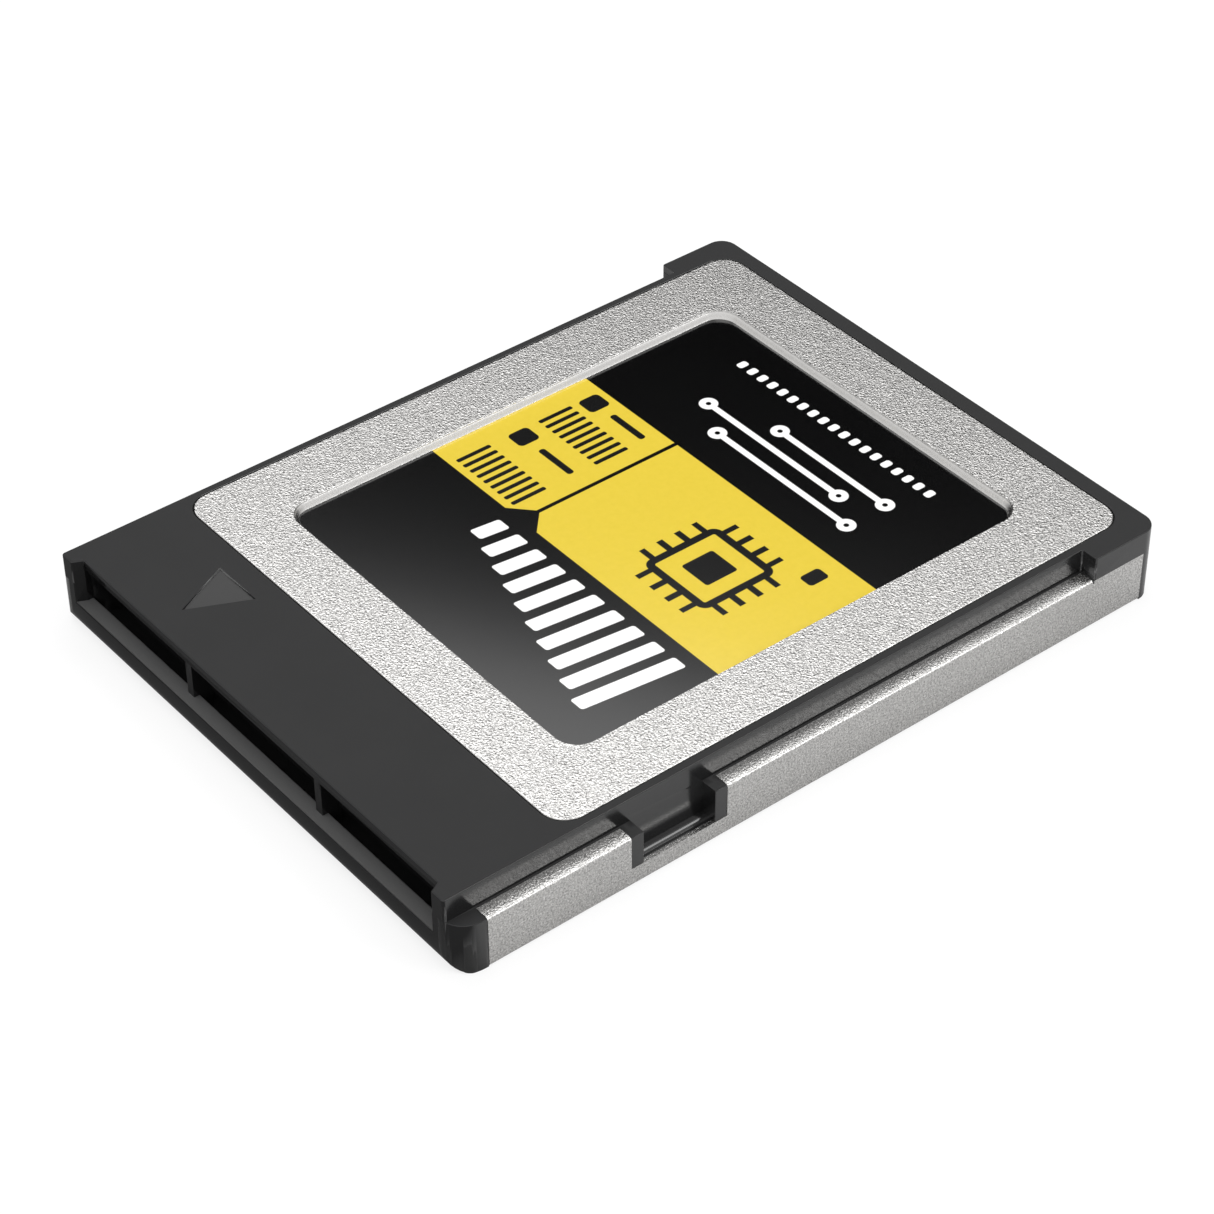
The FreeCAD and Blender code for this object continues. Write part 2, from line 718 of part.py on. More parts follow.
def make_small_part(centre_x, centre_y, height, turned=False):
    """A leadless chip part: two end caps and a slightly thinner body between."""
    length, width, _ = SMALL_PART_SIZE
    neck = SMALL_PART_NECK
    ends = []
    for side in (-1, 1):
        outer = side * length / 2
        inner = side * (length / 2 - SMALL_PART_END)
        ends.append(box(
            min(outer, inner), max(outer, inner), -width / 2, width / 2,
            BOARD_TOP, BOARD_TOP + height,
        ))
    body = box(
        -length / 2 + SMALL_PART_END, length / 2 - SMALL_PART_END,
        -width / 2 + neck, width / 2 - neck, BOARD_TOP + neck, BOARD_TOP + height - neck,
    )
    part = body.fuse(ends).removeSplitter()
    if turned:
        part.rotate(Vector(0, 0, 0), Vector(0, 0, 1), 90)
    part.translate(Vector(centre_x, centre_y, 0))
    return part


def small_part_row(x_first, x_step, count, y, height, turned=False):
    """A row of like chip parts across the board."""
    return [
        make_small_part(x_first + i * x_step, y, height, turned) for i in range(count)
    ]


def make_inductor(area):
    """A moulded power inductor: a block with a chamfered top."""
    top = BOARD_TOP + INDUCTOR_SIZE[2]
    block = box(*area, BOARD_TOP, top)
    return block.makeChamfer(INDUCTOR_CHAMFER, top_edges(block, top))


def make_crystal(area):
    """A ceramic crystal package with a raised metal lid."""
    top = BOARD_TOP + CRYSTAL_SIZE[2]
    body = box(*area, BOARD_TOP, top - CRYSTAL_LID)
    lid = box(*shrink(area, CRYSTAL_LID), top - CRYSTAL_LID, top)
    return body.fuse(lid).removeSplitter()


def make_pad(area, lower_face, upper_face):
    """A soft pad that fills the space between a package and a cover."""
    return box(*shrink(area, PAD_INSET), lower_face + PAD_GAP, upper_face - PAD_GAP)


def memory_areas():
    """Plan areas of the memory packages, on both faces of the board."""
    half = BOARD_HALF - MEMORY_EDGE_MARGIN
    rear_y = BOARD_REAR_Y + PART_SPACING
    middle_y = (rear_y + PARTS_FRONT_Y) / 2
    row_half = SMALL_PART_SIZE[1] / 2 + PART_SPACING
    return {
        "top": (-half, half, rear_y, ROW_REAR_Y - PART_SPACING),
        "bottom_rear": (-half, half, rear_y, middle_y - row_half),
        "bottom_front": (-half, half, middle_y + row_half, PARTS_FRONT_Y),
    }


def logic_areas():
    """Plan areas of the packages beside each other at the board's front."""
    half = BOARD_HALF - LOGIC_EDGE_MARGIN
    power_x = half - POWER_SIZE[0]
    buffer_x = -half + CONTROLLER_SIZE[0] + PART_SPACING
    front_y = LOGIC_REAR_Y + CONTROLLER_SIZE[1]
    return {
        "controller": area_at(-half, LOGIC_REAR_Y, CONTROLLER_SIZE),
        "buffer": (buffer_x, power_x - PART_SPACING, LOGIC_REAR_Y, front_y),
        "power": area_at(power_x, front_y - POWER_SIZE[1], POWER_SIZE),
        "crystal": area_at(half - CRYSTAL_SIZE[0], LOGIC_REAR_Y + PART_SPACING, CRYSTAL_SIZE),
    }


def packages():
    """The chip packages and the pads that carry their heat, by node name."""
    memory = memory_areas()
    logic = logic_areas()
    low_face = BOARD_UNDERSIDE - MEMORY_LOW_HEIGHT
    nodes = {}
    nodes["controller_chip"] = make_package(logic["controller"], CONTROLLER_SIZE[2])
    nodes["buffer_chip"] = make_package(logic["buffer"], BUFFER_HEIGHT)
    nodes["power_chip"] = make_package(logic["power"], POWER_SIZE[2])
    nodes["clock_crystal"] = make_crystal(logic["crystal"])
    nodes["memory_chip_top"] = make_package(memory["top"], MEMORY_HEIGHT)
    for place in ("bottom_rear", "bottom_front"):
        chip = make_package(memory[place], MEMORY_LOW_HEIGHT)
        nodes["memory_chip_" + place] = under_board(chip)
        nodes["thermal_pad_" + place] = make_pad(memory[place], SHEET, low_face)
    nodes["thermal_pad_controller"] = make_pad(
        logic["controller"], BOARD_TOP + CONTROLLER_SIZE[2], COVER_UNDERSIDE,
    )
    nodes["thermal_pad_memory"] = make_pad(
        memory["top"], BOARD_TOP + MEMORY_HEIGHT, COVER_UNDERSIDE,
    )
    return nodes


def small_parts():
    """The inductors and the rows of small chip parts, by node name."""
    length, width, height = SMALL_PART_SIZE
    step = 2 * length
    nodes = {}
    x = LOGIC_EDGE_MARGIN - BOARD_HALF
    for i in range(INDUCTOR_COUNT):
        nodes["inductor_%02d" % (i + 1)] = make_inductor(area_at(x, ROW_REAR_Y, INDUCTOR_SIZE))
        x += INDUCTOR_SIZE[0] + PART_SPACING
    row_y = ROW_REAR_Y + INDUCTOR_SIZE[1] / 2
    caps = small_part_row(x + length / 2, step, ROW_COUNT, row_y, height)
    memory = memory_areas()
    beside_x = memory["top"][1] + PART_SPACING + width / 2
    beside_y = (memory["top"][2] + memory["top"][3]) / 2
    caps += small_part_row(-beside_x, 2 * beside_x, 2, beside_y, height, True)
    nodes["capacitors_top"] = Part.makeCompound(caps)
    row_start = -step * (ROW_COUNT - 1) / 2
    resistor_y = PARTS_FRONT_Y - width / 2
    resistors = small_part_row(row_start, step, ROW_COUNT, resistor_y, RESISTOR_HEIGHT)
    nodes["resistors_top"] = Part.makeCompound(resistors)
    between_y = memory["bottom_rear"][3] + PART_SPACING + width / 2
    low_caps = small_part_row(row_start, step, ROW_COUNT, between_y, height)
    nodes["capacitors_bottom"] = Part.makeCompound([under_board(part) for part in low_caps])
    return nodes


def build():
    """Every node of the card, by name."""
    nodes = {}
    nodes["bottom_cover"] = make_bottom_cover()
    nodes["frame_housing"] = make_frame_housing()
    nodes["top_cover"] = make_top_cover()
    nodes["label"] = make_label()
    nodes["circuit_board"] = make_circuit_board()
    nodes["contact_carrier"] = make_contact_carrier()
    for number, x in enumerate(contact_places(), 1):
        nodes["contact_%02d" % number] = make_contact(x)
    nodes.update(packages())
    nodes.update(small_parts())
    return nodes


os.makedirs("parts", exist_ok=True)
for name, shape in build().items():
    shape.exportStep("parts/%s.step" % name)
    print("%-26s %3d solids  %9.3f mm3  valid %s" % (
        name, len(shape.Solids), shape.Volume, shape.isValid()))
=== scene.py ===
# %% [markdown]
# # A memory card on a pale table
#
# This lesson dresses a flat memory card for its portrait. The card's solids come from
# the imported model, so every size and place is already settled. Blender adds what a
# solid modeller leaves out: the rolled edges of the sheet metal, the blasted grain,
# the printed film, the soft light. We start by loading the model.

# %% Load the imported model
import json
import bmesh
import bpy
import numpy as np
from mathutils import Matrix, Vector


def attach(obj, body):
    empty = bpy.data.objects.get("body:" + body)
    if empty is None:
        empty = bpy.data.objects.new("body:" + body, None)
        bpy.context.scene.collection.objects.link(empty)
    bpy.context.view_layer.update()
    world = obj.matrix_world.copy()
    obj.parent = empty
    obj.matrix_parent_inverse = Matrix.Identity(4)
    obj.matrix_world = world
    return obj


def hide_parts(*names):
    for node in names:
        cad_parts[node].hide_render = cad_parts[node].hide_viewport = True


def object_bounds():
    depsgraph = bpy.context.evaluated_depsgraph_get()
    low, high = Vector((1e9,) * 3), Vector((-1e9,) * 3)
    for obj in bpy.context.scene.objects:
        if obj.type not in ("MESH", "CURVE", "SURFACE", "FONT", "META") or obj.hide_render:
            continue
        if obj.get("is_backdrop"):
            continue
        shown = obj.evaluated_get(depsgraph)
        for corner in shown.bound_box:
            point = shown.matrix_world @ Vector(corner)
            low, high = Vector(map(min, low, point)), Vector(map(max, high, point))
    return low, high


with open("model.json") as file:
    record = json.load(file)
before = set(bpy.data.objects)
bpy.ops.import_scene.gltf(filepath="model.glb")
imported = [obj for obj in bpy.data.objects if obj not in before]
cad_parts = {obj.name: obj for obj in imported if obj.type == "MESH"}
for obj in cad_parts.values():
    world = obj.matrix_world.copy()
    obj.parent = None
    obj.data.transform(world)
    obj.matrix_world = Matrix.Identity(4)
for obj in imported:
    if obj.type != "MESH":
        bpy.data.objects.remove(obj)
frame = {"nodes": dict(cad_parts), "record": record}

MM = 0.001
cad_box = [list(corner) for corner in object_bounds()]
print("card, mm:", np.round((np.array(cad_box[1]) - cad_box[0]) / MM, 2))

# %% [markdown]
# ## Where the camera stands
#
# A camera is a place, three axes and a focal length. The photograph was taken with a
# long lens from the connector end, looking down at about 39 degrees. The three axes are
# given as columns (right, up, back), which is exactly what Blender's matrix holds, so
# no angle has to be guessed.

# %% The camera
def studio_camera():
    """Puts the camera at the photograph's place, with its axes as matrix columns."""
    right = np.array([-0.6252, -0.7804, -0.0068])
    up = np.array([0.4921, -0.4010, 0.7727])
    right /= np.linalg.norm(right)
    up -= right * (up @ right)
    up /= np.linalg.norm(up)
    axes = np.column_stack([right, up, np.cross(right, up)])
    data = bpy.data.cameras.new("portrait_lens")
    data.lens, data.sensor_width = 101.255, 36.0
    data.clip_start, data.clip_end = 0.01, 10.0
    camera = bpy.data.objects.new("portrait_camera", data)
    bpy.context.scene.collection.objects.link(camera)
    camera.rotation_euler = Matrix(axes.tolist()).to_euler()
    camera.location = (-0.0921, 0.07294, 0.09617)
    bpy.context.scene.camera = camera
    return camera


camera = studio_camera()
print("camera at, mm:", [round(v / MM, 1) for v in camera.location])

# %% [markdown]
# ## Writing materials as short sentences
#
# A procedural material is a small circuit of nodes. Two helpers keep it readable: one
# adds a node and connects or sets its sockets, the other adds a Math node and hands back
# its result, so a formula in Python becomes the same formula in the shader.

# %% Node helpers
def add(tree, kind, sockets=None, **settings):
    """Adds one node. A socket value is linked if it is a socket, and set if it is a number."""
    made = tree.nodes.new(kind)
    for name, value in settings.items():
        setattr(made, name, value)
    for name, value in (sockets or {}).items():
        if isinstance(value, bpy.types.NodeSocket):
            tree.links.new(value, made.inputs[name])
        else:
            made.inputs[name].default_value = value
    return made


def maths(tree, operation, *values, clamp=False):
    """One Math node: operation(values...), and its result."""
    numbered = dict(enumerate(values))
    return add(tree, "ShaderNodeMath", numbered, operation=operation, use_clamp=clamp).outputs[0]


def mix_colour(tree, share, first, second):
    """first·(1 - share) + second·share, for two colours."""
    made = add(tree, "ShaderNodeMix", data_type="RGBA")
    for index, value in ((0, share), (6, first), (7, second)):
        if isinstance(value, bpy.types.NodeSocket):
            tree.links.new(value, made.inputs[index])
        else:
            made.inputs[index].default_value = value
    return made.outputs[2]


def new_finish(name, **fixed):
    """A material with one Principled shader, whose constant values sit on its own sockets."""
    material = bpy.data.materials.new(name)
    material.use_nodes = True
    tree = material.node_tree
    shader = tree.nodes["Principled BSDF"]
    for socket, value in fixed.items():
        shader.inputs[socket.replace("_", " ")].default_value = value
    return material, tree, shader


def card_place(tree):
    """The point on the card, in millimetres, from Object coordinates."""
    place = add(tree, "ShaderNodeTexCoord").outputs["Object"]
    scaled = add(tree, "ShaderNodeVectorMath", {0: place, "Scale": 1000.0}, operation="SCALE")
    return scaled.outputs[0]


def grain(tree, place, size, detail=2.0, roughness=0.6):
    """Noise whose blotches are about `size` millimetres wide, from 0 to 1."""
    made = add(tree, "ShaderNodeTexNoise", {
        "Vector": place, "Scale": 1.0 / size, "Detail": detail, "Roughness": roughness})
    return made.outputs["Fac"]


def between(tree, value, low, high, new_low, new_high):
    """Maps low..high to new_low..new_high in a straight line, and clamps it."""
    made = add(tree, "ShaderNodeMapRange", {
        0: value, 1: low, 2: high, 3: new_low, 4: new_high}, clamp=True)
    return made.outputs[0]


def bump(tree, height, depth, strength):
    """Turns a height from 0 to 1 into a shading normal; depth is in metres."""
    made = add(tree, "ShaderNodeBump", {
        "Height": height, "Distance": depth, "Strength": strength})
    return made.outputs[0]


print("helpers ready")

# %% [markdown]
# ## Shapes as distances
#
# Anything printed or engraved is drawn the same way: by the distance from a point to the
# shape's outline. Inside, the distance is negative. Dividing it by a hair's width turns
# it into a mask with a clean soft edge, whatever the size of the picture.

# %% Shapes from distances
def soft_inside(tree, distance, hair=0.03):
    """1 where the distance is below zero, 0 outside, with an edge `hair` mm wide."""
    return maths(tree, "MULTIPLY_ADD", distance, -1.0 / hair, 0.5, clamp=True)


def block_distance(tree, across, along, half_across, half_along, radius):
    """Distance to a rounded block: |max(|p| - (half - r), 0)| - r."""
    reach = []
    for value, half in ((across, half_across), (along, half_along)):
        over = maths(tree, "SUBTRACT", maths(tree, "ABSOLUTE", value), half - radius)
        reach.append(maths(tree, "MAXIMUM", over, 0.0))
    square = maths(tree, "MULTIPLY", reach[0], reach[0])
    total = maths(tree, "MULTIPLY_ADD", reach[1], reach[1], square)
    return maths(tree, "SUBTRACT", maths(tree, "SQRT", total), radius)


print("distances ready")

# %% [markdown]
# ## The moulded black plastic
#
# The frame is injection moulded. The tool's flat faces were spark eroded, so what looks
# up has a matt skin that takes the light evenly, while the walls, cut and polished, come
# out glossier. That is two materials with one recipe: a noise as wide as a grain of the
# tool's texture drives the bump, and a much wider one lets the gloss drift a little. The
# copy for faces that look up also gets more than twice the base colour of the walls'
# copy: painted light on the tops and painted shade on the walls.

# %% Black plastic
# The lip's paler tone is painted light on the lip's top, which lies in the roof's shade.
LIP_PAINTED_LIGHT_TONE = (0.096, 0.096, 0.096, 1)
ARROW_TONE = (0.052, 0.052, 0.052, 1)


def moulded_plastic(name, colour, roughness, gleam, depth, engraved=None, lip=None):
    """Moulded plastic: colour ± 12 %, gloss drift of 0.06, grain `depth` metres deep.

    engraved = (half length along, middle along, height) of the arrow's dull grey floor,
    lip = the height under which the skin is painted paler: painted light on the mouth's lip, which
    the roof above shades.
    """
    material, tree, shader = new_finish(name, Specular_IOR_Level=gleam)
    place = card_place(tree)
    slow = grain(tree, place, 3.0, 3.0)
    dark = [c * 0.88 for c in colour] + [1.0]
    light = [c * 1.12 for c in colour] + [1.0]
    shade = mix_colour(tree, slow, dark, light)
    split = add(tree, "ShaderNodeSeparateXYZ", {0: place})
    # Painted light: under the lip's height the colour is made paler, standing in for the light the
    # roof keeps off the lip's top.
    if lip is not None:
        below = between(tree, split.outputs[2], lip, lip + 0.02, 1.0, 0.0)
        shade = mix_colour(tree, below, shade, LIP_PAINTED_LIGHT_TONE)
    if engraved is not None:
        floor = block_distance(
            tree, maths(tree, "SUBTRACT", split.outputs[2], engraved[2]),
            maths(tree, "SUBTRACT", split.outputs[1], engraved[1]), 0.04, engraved[0], 0.02)
        shade = mix_colour(tree, soft_inside(tree, floor), shade, ARROW_TONE)
    tree.links.new(shade, shader.inputs["Base Color"])
    gloss = maths(tree, "MULTIPLY_ADD", slow, 0.06, roughness - 0.03)
    tree.links.new(gloss, shader.inputs["Roughness"])
    skin = grain(tree, place, 0.05, 1.0)
    tree.links.new(bump(tree, skin, depth, 0.15), shader.inputs["Normal"])
    return material


# Painted light and shade: the matt copy for up-facing faces gets a lighter base colour, and the
# glossy copy for the walls a darker one.
matt_painted_light_plastic = moulded_plastic(
    "frame_matt_painted_light_plastic", (0.0255, 0.0255, 0.0258), 0.55, 0.12, 0.000004, (1.45, 15.85, 3.7), 1.62)
gloss_painted_shade_plastic = moulded_plastic(
    "frame_gloss_painted_shade_plastic", (0.011, 0.011, 0.0113), 0.16, 0.75, 0.000001)
carrier_plastic = moulded_plastic(
    "carrier_black_plastic", (0.022, 0.022, 0.022), 0.5, 0.25, 0.000002)
print("plastics:", matt_painted_light_plastic.name, gloss_painted_shade_plastic.name, carrier_plastic.name)

# %% [markdown]
# ## Blasted sheet steel
#
# The covers are stainless sheet, blasted with glass beads before they are folded. Each
# bead leaves a tiny crater, so the surface breaks the light into coarse glitter. A
# Voronoi texture gives the craters, a noise breaks up their pattern, and both drive the
# bump and a slight change of brightness. The pressing tool polishes what it draws over
# its edges, so below the flat top the grain fades out. There the colour is also made much
# lighter: a painted sheen on the dish's wall, the rolled edge and the tabs.

# %% Blasted steel
def blasted_steel(name, colour, bead, depth, spread, smooth_and_sheen_below=None):
    """Craters of `bead` mm: bump = noise + distance to crater centre, brightness ± spread."""
    material, tree, shader = new_finish(name, Metallic=1.0)
    place = card_place(tree)
    craters = add(tree, "ShaderNodeTexVoronoi", {
        "Vector": place, "Scale": 0.7 / bead, "Randomness": 1.0}).outputs["Distance"]
    broken = grain(tree, place, bead, 2.0, 0.65)
    height = maths(tree, "MULTIPLY_ADD", craters, 0.4, broken)
    tone = between(tree, broken, 0.28, 0.68, 0.0, 1.0)
    dark = [c * (1 - spread) for c in colour] + [1.0]
    light = [min(c * (1 + spread), 1.0) for c in colour] + [1.0]
    shade = mix_colour(tree, tone, dark, light)
    rough = between(tree, craters, 0.0, 0.9, 0.20, 0.30)
    # Under the flat top the grain fades, and the colour is made 1.8 times lighter. The lighter
    # colour is a painted sheen.
    if smooth_and_sheen_below is not None:
        height_mm = add(tree, "ShaderNodeSeparateXYZ", {0: place}).outputs[2]
        flat = between(tree, height_mm, smooth_and_sheen_below - 0.05, smooth_and_sheen_below, 0.06, 1.0)
        height = maths(tree, "MULTIPLY", height, flat)
        painted_sheen = [min(c * 1.8, 0.98) for c in colour] + [1.0]
        shade = mix_colour(tree, flat, painted_sheen, shade)
    tree.links.new(shade, shader.inputs["Base Color"])
    tree.links.new(rough, shader.inputs["Roughness"])
    tree.links.new(bump(tree, height, depth, 1.0), shader.inputs["Normal"])
    return material


lid_steel = blasted_steel("lid_blasted_steel", (0.456, 0.450, 0.441), 0.085, 0.00002, 0.55, 3.795)
wrap_steel = blasted_steel("wrap_blasted_steel", (0.55, 0.543, 0.532), 0.085, 0.000024, 0.45)
print("steels:", lid_steel.name, wrap_steel.name)

# %% [markdown]
# ## Surfaces from numbers
#
# Most of this card is built from rounded rectangles. A rounded rectangle is every point
# at a distance r from a smaller rectangle, so one formula gives the corners and the
# sides: P = C + r·(cos a, sin a). Round a corner C stands still and the angle a turns;
# along a side a stands still and C slides. Because r is only a factor, the same table of
# C and a also gives every inner or outer offset of the outline, and a stack of such rings
# makes a lid, a film or a dish.

# %% Rounded rectangles
CORNER_STEPS, SIDE_STEPS = 14, 6


def outline(half_x, y_low, y_high, radius):
    """The table of a rounded rectangle: inner points C, directions (cos a, sin a), radius."""
    right, low, high = half_x - radius, y_low + radius, y_high - radius
    corners = np.array([(right, low), (right, high), (-right, high), (-right, low)])
    starts = np.radians([-90.0, 0.0, 90.0, 180.0])
    turn = np.linspace(0, np.pi / 2, CORNER_STEPS)
    slide = np.linspace(0, 1, SIDE_STEPS + 1)[1:-1]
    points, angles = [], []
    for i in range(4):
        points.append(np.repeat(corners[i:i + 1], CORNER_STEPS, axis=0))
        angles.append(starts[i] + turn)
        ahead = corners[(i + 1) % 4]
        points.append(corners[i] + (ahead - corners[i]) * slide[:, None])
        angles.append(np.full(slide.size, starts[i] + np.pi / 2))
    points, angles = np.concatenate(points), np.concatenate(angles)
    return points, np.column_stack([np.cos(angles), np.sin(angles)]), radius


def rings(table, insets, heights):
    """P(i, j) = C(j) + (r - inset(i))·D(j), at height z(i): a stack of offset outlines."""
    points, directions, radius = table
    insets, heights = np.asarray(insets, float), np.asarray(heights, float)
    flat = points + (radius - insets)[:, None, None] * directions
    level = np.broadcast_to(heights[:, None, None], flat.shape[:2] + (1,))
    return np.concatenate([flat, level], axis=2)


def towards_middle(ring, shares):
    """P(i, j) = M + share(i)·(P(j) - M): the ring shrunk towards its middle M."""
    middle = ring.mean(axis=0)
    return middle + np.asarray(shares)[:, None, None] * (ring - middle)


probe = rings(outline(10, -10, 10, 1), [0, 0.5], [0, 0])
print("points on a ring:", probe.shape[1], "widths:", np.ptp(probe[:, :, 0], axis=1))

# %% [markdown]
# ## From a table of points to a mesh
#
# A grid of points needs a grid of faces. With numpy the face table is worked out in one
# go from the grid of point numbers: each face joins a point, its neighbour along the
# ring, and the two above them. The ends are closed by one point in the middle and a fan
# of triangles, so the skin has no hole. Edges that turn by more than 30 degrees stay
# sharp in the shading; all others are smooth.

# %% Meshes from grids
def make_mesh(name, points, faces, smooth_angle=30.0):
    """A mesh from a point table in millimetres and a list of face tables."""
    mesh = bpy.data.meshes.new(name)
    table = [tuple(face) for part in faces for face in np.asarray(part).tolist()]
    mesh.from_pydata((np.asarray(points) * MM).tolist(), [], table)
    mesh.polygons.foreach_set("use_smooth", np.ones(len(table), bool))
    mesh.set_sharp_from_angle(angle=np.radians(smooth_angle))
    mesh.update()
    return mesh


def closed_stack(name, stack):
    """A closed skin over a stack of rings, with a middle point at each end."""
    count, around = stack.shape[:2]
    number = np.arange(count * around).reshape(count, around)
    ahead = np.roll(number, -1, axis=1)
    sides = np.stack([number[:-1], ahead[:-1], ahead[1:], number[1:]], axis=-1).reshape(-1, 4)
    first, last = count * around, count * around + 1
    ends = stack[[0, -1]].mean(axis=1)
    start = np.stack([ahead[0], number[0], np.full(around, first)], axis=-1)
    stop = np.stack([number[-1], ahead[-1], np.full(around, last)], axis=-1)
    points = np.concatenate([stack.reshape(-1, 3), ends])
    return make_mesh(name, points, [sides, start, stop])


def settle_shading(piece):
    """Lets the large faces decide the shading normals, so that they stay flat to the eye."""
    weighted = piece.modifiers.new("flat_faces", "WEIGHTED_NORMAL")
    weighted.mode, weighted.weight, weighted.keep_sharp = "FACE_AREA_WITH_ANGLE", 60, True


def show(name, mesh, finish, slot, *nodes):
    """Puts a mesh in the scene as a piece of the card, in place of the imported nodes."""
    piece = bpy.data.objects.new(name, mesh)
    bpy.context.scene.collection.objects.link(piece)
    piece.data.materials.clear()
    piece.data.materials.append(finish)
    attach(piece, "root")
    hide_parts(*nodes)
    size = np.ptp(np.array([v.co[:] for v in mesh.vertices]), axis=0) / MM
    print(name, "faces", len(mesh.polygons), "size", np.round(size, 2))
    return piece


print("mesh makers ready")

# %% [markdown]
# ## The top cover
#
# The real lid is one stamping: a flat rim with a rolled outer edge, a dish pressed down
# for the label, and six tabs folded down into the frame. It could be boxed and cut with
# booleans, but its edges would be dead sharp. Instead its cross section is written as a
# list of insets and heights, walked from the middle of the underside, out, up over the
# rolled edge, across the rim, over the rounded shoulder, down the drafted wall and in to
# the middle of the dish. Carried round the two outlines it is the whole lid.

# %% The top cover's skin
LID = outline(13.52, -18.385, 13.20, 1.20)
DISH = outline(10.20, -15.22, 9.90, 1.05)
TOP, SHEET, DISH_FLOOR, WALL_INSETS = 3.8, 0.2, 3.38, (-0.12, 0.12)


def quarter(radius, steps=6):
    """Sine and 1 - cosine of a quarter turn, times the radius: how far across and down."""
    turn = np.linspace(0, np.pi / 2, steps + 1)
    return radius * np.sin(turn), radius * (1 - np.cos(turn))


def lid_rings(edge=0.07, pad=0.03):
    """The lid's section as rings, from the underside's middle round to the dish's middle.

    The outer edge is a quarter circle. The dish's wall is the mean of a straight slope
    and half a cosine wave, between two insets. A ring `pad` beside each curve keeps the
    flat faces flat in the shading.
    """
    across, down = quarter(edge)
    outer = rings(LID, np.append(down, edge + pad), np.append(TOP - edge + across, TOP))
    wave = np.linspace(0, 1, 13)
    inset = WALL_INSETS[0] + (WALL_INSETS[1] - WALL_INSETS[0]) * wave
    fall = TOP - (TOP - DISH_FLOOR) * (wave + (1 - np.cos(np.pi * wave)) / 2) / 2
    inset = np.concatenate([[inset[0] - pad], inset, [inset[-1] + pad]])
    wall = rings(DISH, inset, np.concatenate([[TOP], fall, [DISH_FLOOR]]))
    inner = towards_middle(wall[-1], [0.8, 0.5, 0.2])
    base = DISH_FLOOR - SHEET
    under = rings(DISH, [WALL_INSETS[1] - SHEET, -SHEET], [base, TOP - SHEET])
    start = towards_middle(under[0], [0.2, 0.6])
    brim = rings(LID, [0.0], [TOP - SHEET])
    return np.concatenate([start, under, brim, outer, wall, inner])


lid_stack = lid_rings()
lid_mesh = closed_stack("top_cover_skin", lid_stack)
print("lid height, mm:", np.ptp(lid_stack[:, :, 2]))

# %% [markdown]
# The tabs are small strips with a window. A strip with one hole is a square tube walked
# round a rectangle: four corners, each with an outer and an inner point on both faces.
# That is sixteen points and sixteen faces, and six shifted copies make all the tabs.

# %% The snap tabs
TAB_X, TAB_FOOT, TAB_HALF = (13.32, 13.52), 2.5, 1.2
TAB_PLACES = (-13.0, -4.4, 4.2)


def tab_table(middle, side):
    """A windowed strip: rectangle corners × (outer, window) × (inner face, outer face)."""
    outer = [(-TAB_HALF, TAB_FOOT), (TAB_HALF, TAB_FOOT), (TAB_HALF, 3.62), (-TAB_HALF, 3.62)]
    window = [(-0.6, 2.75), (0.6, 2.75), (0.6, 3.2), (-0.6, 3.2)]
    flat = np.array(outer + window)
    points = np.concatenate([np.column_stack([np.full(8, x), flat]) for x in TAB_X])
    points[:, 1] += middle
    points[:, 0] *= side
    i = np.arange(4)
    j = (i + 1) % 4
    faces = np.concatenate([
        np.stack([i, i + 4, j + 4, j], -1), np.stack([i + 8, j + 8, j + 12, i + 12], -1),
        np.stack([i, j, j + 8, i + 8], -1), np.stack([i + 4, i + 12, j + 12, j + 4], -1)])
    return points, faces if side > 0 else faces[:, ::-1]


def join_tabs(mesh):
    """Adds the six tabs to the lid's mesh."""
    work = bmesh.new()
    work.from_mesh(mesh)
    for side in (-1, 1):
        for middle in TAB_PLACES:
            points, faces = tab_table(middle, side)
            corners = [work.verts.new(point) for point in (points * MM).tolist()]
            for face in faces.tolist():
                work.faces.new([corners[k] for k in face])
    work.to_mesh(mesh)
    work.free()


join_tabs(lid_mesh)
top_cover = show("lid", lid_mesh, lid_steel, "cover_metal", "top_cover")

# %% [markdown]
# ## The printed film
#
# The label is a thin film with its ink under a clear gloss. Its body is a few more
# rings. The print is a drawing made of distances, with plain shapes of the right size
# and colour in the places where a label carries its wording.

# %% The film's body
FILM_FLOOR, FILM_TOP, FILM_INSET = 3.38, 3.46, 0.10


def film_rings(edge=0.02):
    """Underside, side and rounded top edge of the film, as offsets of the dish."""
    across, down = quarter(edge, 3)
    inset = FILM_INSET + np.append(down, edge + 0.01)
    side = rings(DISH, inset, np.append(FILM_TOP - edge + across, FILM_TOP))
    base = rings(DISH, [FILM_INSET], [FILM_FLOOR])
    inner = towards_middle(side[-1], [0.85, 0.6, 0.35, 0.15])
    return np.concatenate([towards_middle(base[0], [0.5]), base, side, inner])


film_mesh = closed_stack("label_film_skin", film_rings())
print("film faces:", len(film_mesh.polygons))


